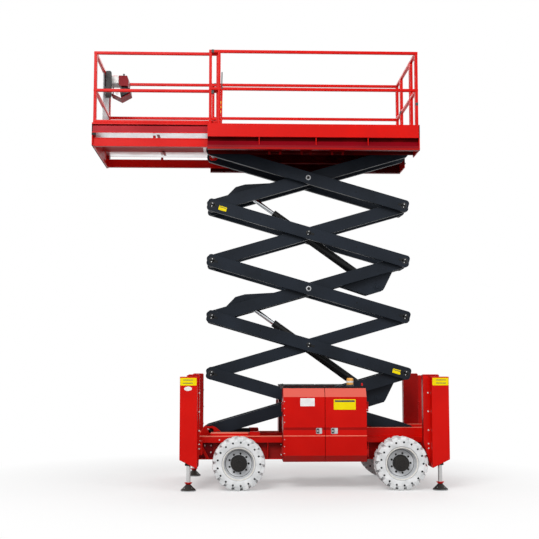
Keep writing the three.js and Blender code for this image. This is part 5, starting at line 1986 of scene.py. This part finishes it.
    def control_box(self) -> None:
        """Builds the operator's box: casing, sloping front, lower panel, lever and buttons."""
        face = self.front_x + self.deck.tube / 2 - 24
        z = self.heights[0] - 22
        shape = Shape().use(WINE_AND_SHADE)
        casing = [(180, z + 8), (180, z - 118), (206, z - 138), (308, z - 138), (318, z - 50), (296, z + 8)]
        shape.prism([(face + u, v) for u, v in casing], Way.Y, (290, 560))
        tray = [(70, z - 236), (70, z - 246), (210, z - 316), (345, z - 240), (345, z - 230),
                (210, z - 304)]
        shape.prism([(face + u, v) for u, v in tray], Way.Y, (300, 550))
        shape.block((face + 70, face + 84), (312, 326), (z - 240, z - 20))
        shape.block((face + 70, face + 84), (524, 538), (z - 240, z - 20))
        shape.use(BLACK)
        panel = [(192, z - 186), (334, z - 162), (342, z - 222), (210, z - 286)]
        shape.prism([(face + u, v) for u, v in panel], Way.Y, (305, 545))
        shape.block((face + 220, face + 270), (330, 520), (z - 186, z - 130))
        shape.use(PLATE).disc(26, 8, Way.Y, (face + 160, z - 232, 298), 32)
        shape.block((face + 140, face + 168), (300, 330), (z - 250, z - 214))
        shape.use(RED)
        for low in (310, 510):
            shape.block((face + 24.3, face + 165), (low, low + 20), (z - 14, z + 10))
        shape.use(PLATE).prism([(face + u, v) for u, v in ((44, z + 2), (44, z - 84), (56, z - 96),
                                                           (181, z - 96), (181, z + 2))], Way.Y, (300, 550))
        shape.use(PLASTIC)
        shape.lathe([(0, 0), (20, 0), (20, 6), (11, 14), (8, 36), (13, 42), (14, 50), (9, 56), (0, 57)],
                    Way.Z, (face + 240, 400, z + 7), 32)
        for y in (440, 470, 500):
            shape.disc(10, 6, Way.Z, (face + 230, y, z + 7), 24)
        shape.use(RED).lathe([(0, 0), (15, 0), (17, 5), (13, 10), (0, 12)], Way.Z, (face + 262, 532, z + 7),
                             32)
        shape.piece("control_box_casing", "extension", "red_paint", ["control_box"], 3)

    def document_holder(self) -> None:
        """Builds the holder for papers, with its lid and band."""
        limits = Limits.of("document_holder")
        shape = Shape().use(PLASTIC)
        radius = (limits.y[1] - limits.y[0]) / 2 - 1
        mid = limits.centre.y
        low, high = limits.z[0] + radius + 1, limits.z[1] - radius - 1
        outline = arc((mid, high), radius, 0, 180, 16) + arc((mid, low), radius, 180, 360, 16)
        shape.prism(outline, Way.X, (limits.x[0] + 0.5, limits.x[1] - 10))
        inner = arc((mid, high), radius - 9, 0, 180, 16) + arc((mid, low), radius - 9, 180, 360, 16)
        shape.prism(inner, Way.X, (limits.x[1] - 12, limits.x[1]))
        shape.block((limits.x[0] + 6, limits.x[1] - 4), (mid - radius - 1.5, mid + radius + 1.5),
                    (high - 42, high - 30))
        shape.piece("document_holder_case", "extension", "black_plastic", ["document_holder"], 4, 3)


# --------------------------------------------------------------------------- studio
@dataclass
class Studio:
    """Camera, floor, lights and background."""

    camera_at: Point2 = (-401.0, -13293.0)
    camera_height: float = 1535.0
    pitch: float = 5.46
    yaw: float = -1.94
    lens: float = 66.71
    floor_size: float = 60.0

    def camera(self) -> None:
        """Makes the camera, which comes before everything else."""
        data = bpy.data.cameras.new("view")
        data.lens, data.sensor_width = self.lens, 36.0
        data.clip_end = 200
        made = placed("view", data)
        made.location = Vector((*self.camera_at, self.camera_height)) * MM
        made.rotation_euler = (math.radians(90 + self.pitch), 0, math.radians(self.yaw))
        bpy.context.scene.camera = made

    def build(self) -> None:
        """Makes the floor, the background and the lights."""
        self.floor()
        self.background()
        self.light("key", (-4.5, -12, 10.5), (-0.2, 0, 2.4), 6.0, 1250)
        self.light("fill", (9, -10, 6.5), (0.2, 0, 2.4), 7.0, 420)
        self.light("rim", (3, 9, 10), (0, 0, 3), 7.0, 300)
        scene = bpy.context.scene
        scene.view_settings.view_transform = "Standard"
        scene.view_settings.look = "None"

    def floor(self) -> None:
        """Makes the pale floor that keeps the shadow."""
        half = self.floor_size / 2
        data = bpy.data.meshes.new("floor")
        data.from_pydata([(-half, -half, 0), (half, -half, 0), (half, half, 0), (-half, half, 0)], [],
                         [(0, 1, 2, 3)])
        made = placed("floor", data)
        material = bpy.data.materials.new("studio_floor")
        material.use_nodes = True
        tree = material.node_tree
        nodes, links = tree.nodes, tree.links
        nodes.remove(nodes["Principled BSDF"])
        near, bounce = (nodes.new("ShaderNodeBsdfDiffuse") for _ in range(2))
        near.inputs["Color"].default_value = (0.95, 0.95, 0.95, 1)
        bounce.inputs["Color"].default_value = (0.42, 0.42, 0.42, 1)
        white = nodes.new("ShaderNodeEmission")
        place = nodes.new("ShaderNodeTexCoord")
        far = nodes.new("ShaderNodeVectorMath")
        far.operation = "LENGTH"
        links.new(place.outputs["Object"], far.inputs[0])
        reach = ranged(tree, far.outputs["Value"], (2.2, 4.6), (0.35, 1.0))
        pale, shown = (nodes.new("ShaderNodeMixShader") for _ in range(2))
        links.new(reach, pale.inputs["Fac"])
        links.new(near.outputs["BSDF"], pale.inputs[1])
        links.new(white.outputs["Emission"], pale.inputs[2])
        links.new(self.seen(tree), shown.inputs["Fac"])
        links.new(bounce.outputs["BSDF"], shown.inputs[1])
        links.new(pale.outputs["Shader"], shown.inputs[2])
        links.new(shown.outputs["Shader"], nodes["Material Output"].inputs["Surface"])
        data.materials.append(material)

    def background(self) -> None:
        """Makes the world: soft light, and white wherever it is seen, mirrored or looked through."""
        world = bpy.data.worlds.new("studio")
        bpy.context.scene.world = world
        world.use_nodes = True
        nodes, links = world.node_tree.nodes, world.node_tree.links
        soft = nodes["Background"]
        soft.inputs["Color"].default_value = (1, 1, 1, 1)
        soft.inputs["Strength"].default_value = 0.5
        white = nodes.new("ShaderNodeBackground")
        white.inputs["Color"].default_value = (1, 1, 1, 1)
        white.inputs["Strength"].default_value = 1.0
        mix = nodes.new("ShaderNodeMixShader")
        links.new(self.seen(world.node_tree), mix.inputs["Fac"])
        links.new(soft.outputs["Background"], mix.inputs[1])
        links.new(white.outputs["Background"], mix.inputs[2])
        links.new(mix.outputs["Shader"], nodes["World Output"].inputs["Surface"])

    @staticmethod
    def seen(tree: Tree) -> Socket:
        """Adds the test for light that is seen, mirrored or looked through.

        Args:
            tree: The nodes of a material or world.

        Returns:
            A socket that is 1 for such light.
        """
        path = tree.nodes.new("ShaderNodeLightPath")
        seen = path.outputs["Is Camera Ray"]
        for kind in ("Is Glossy Ray", "Is Transmission Ray"):
            either = tree.nodes.new("ShaderNodeMath")
            either.operation = "MAXIMUM"
            tree.links.new(seen, either.inputs[0])
            tree.links.new(path.outputs[kind], either.inputs[1])
            seen = either.outputs["Value"]
        return seen

    @staticmethod
    def light(name: str, at: Span, aim: Span, size: float, power: float) -> None:
        """Adds one soft area light.

        Args:
            name: Its name.
            at: Its place in metres.
            aim: The point it faces.
            size: Its width in metres.
            power: Its power in watts.
        """
        data = bpy.data.lights.new(name, "AREA")
        data.size, data.energy = size, power
        made = placed(name, data)
        made.location = at
        made.rotation_euler = (Vector(aim) - Vector(at)).to_track_quat("-Z", "Y").to_euler()


def main() -> None:
    """Builds the lift in order."""
    logging.basicConfig(level=logging.INFO, format="%(message)s", stream=sys.stdout)
    studio = Studio()
    studio.camera()
    Chassis().build()
    for end in ENDS:
        for hand in HANDS:
            Tower(end, hand).build()
            Outrigger(end, hand).build()
    RunningGear().build()
    Cabinets().build()
    Ladder().build()
    stack = ScissorStack()
    stack.build()
    LiftCylinders(stack).build()
    deck = Platform()
    deck.build()
    Extension(deck).build()
    studio.build()


if __name__ == "__main__":
    main()
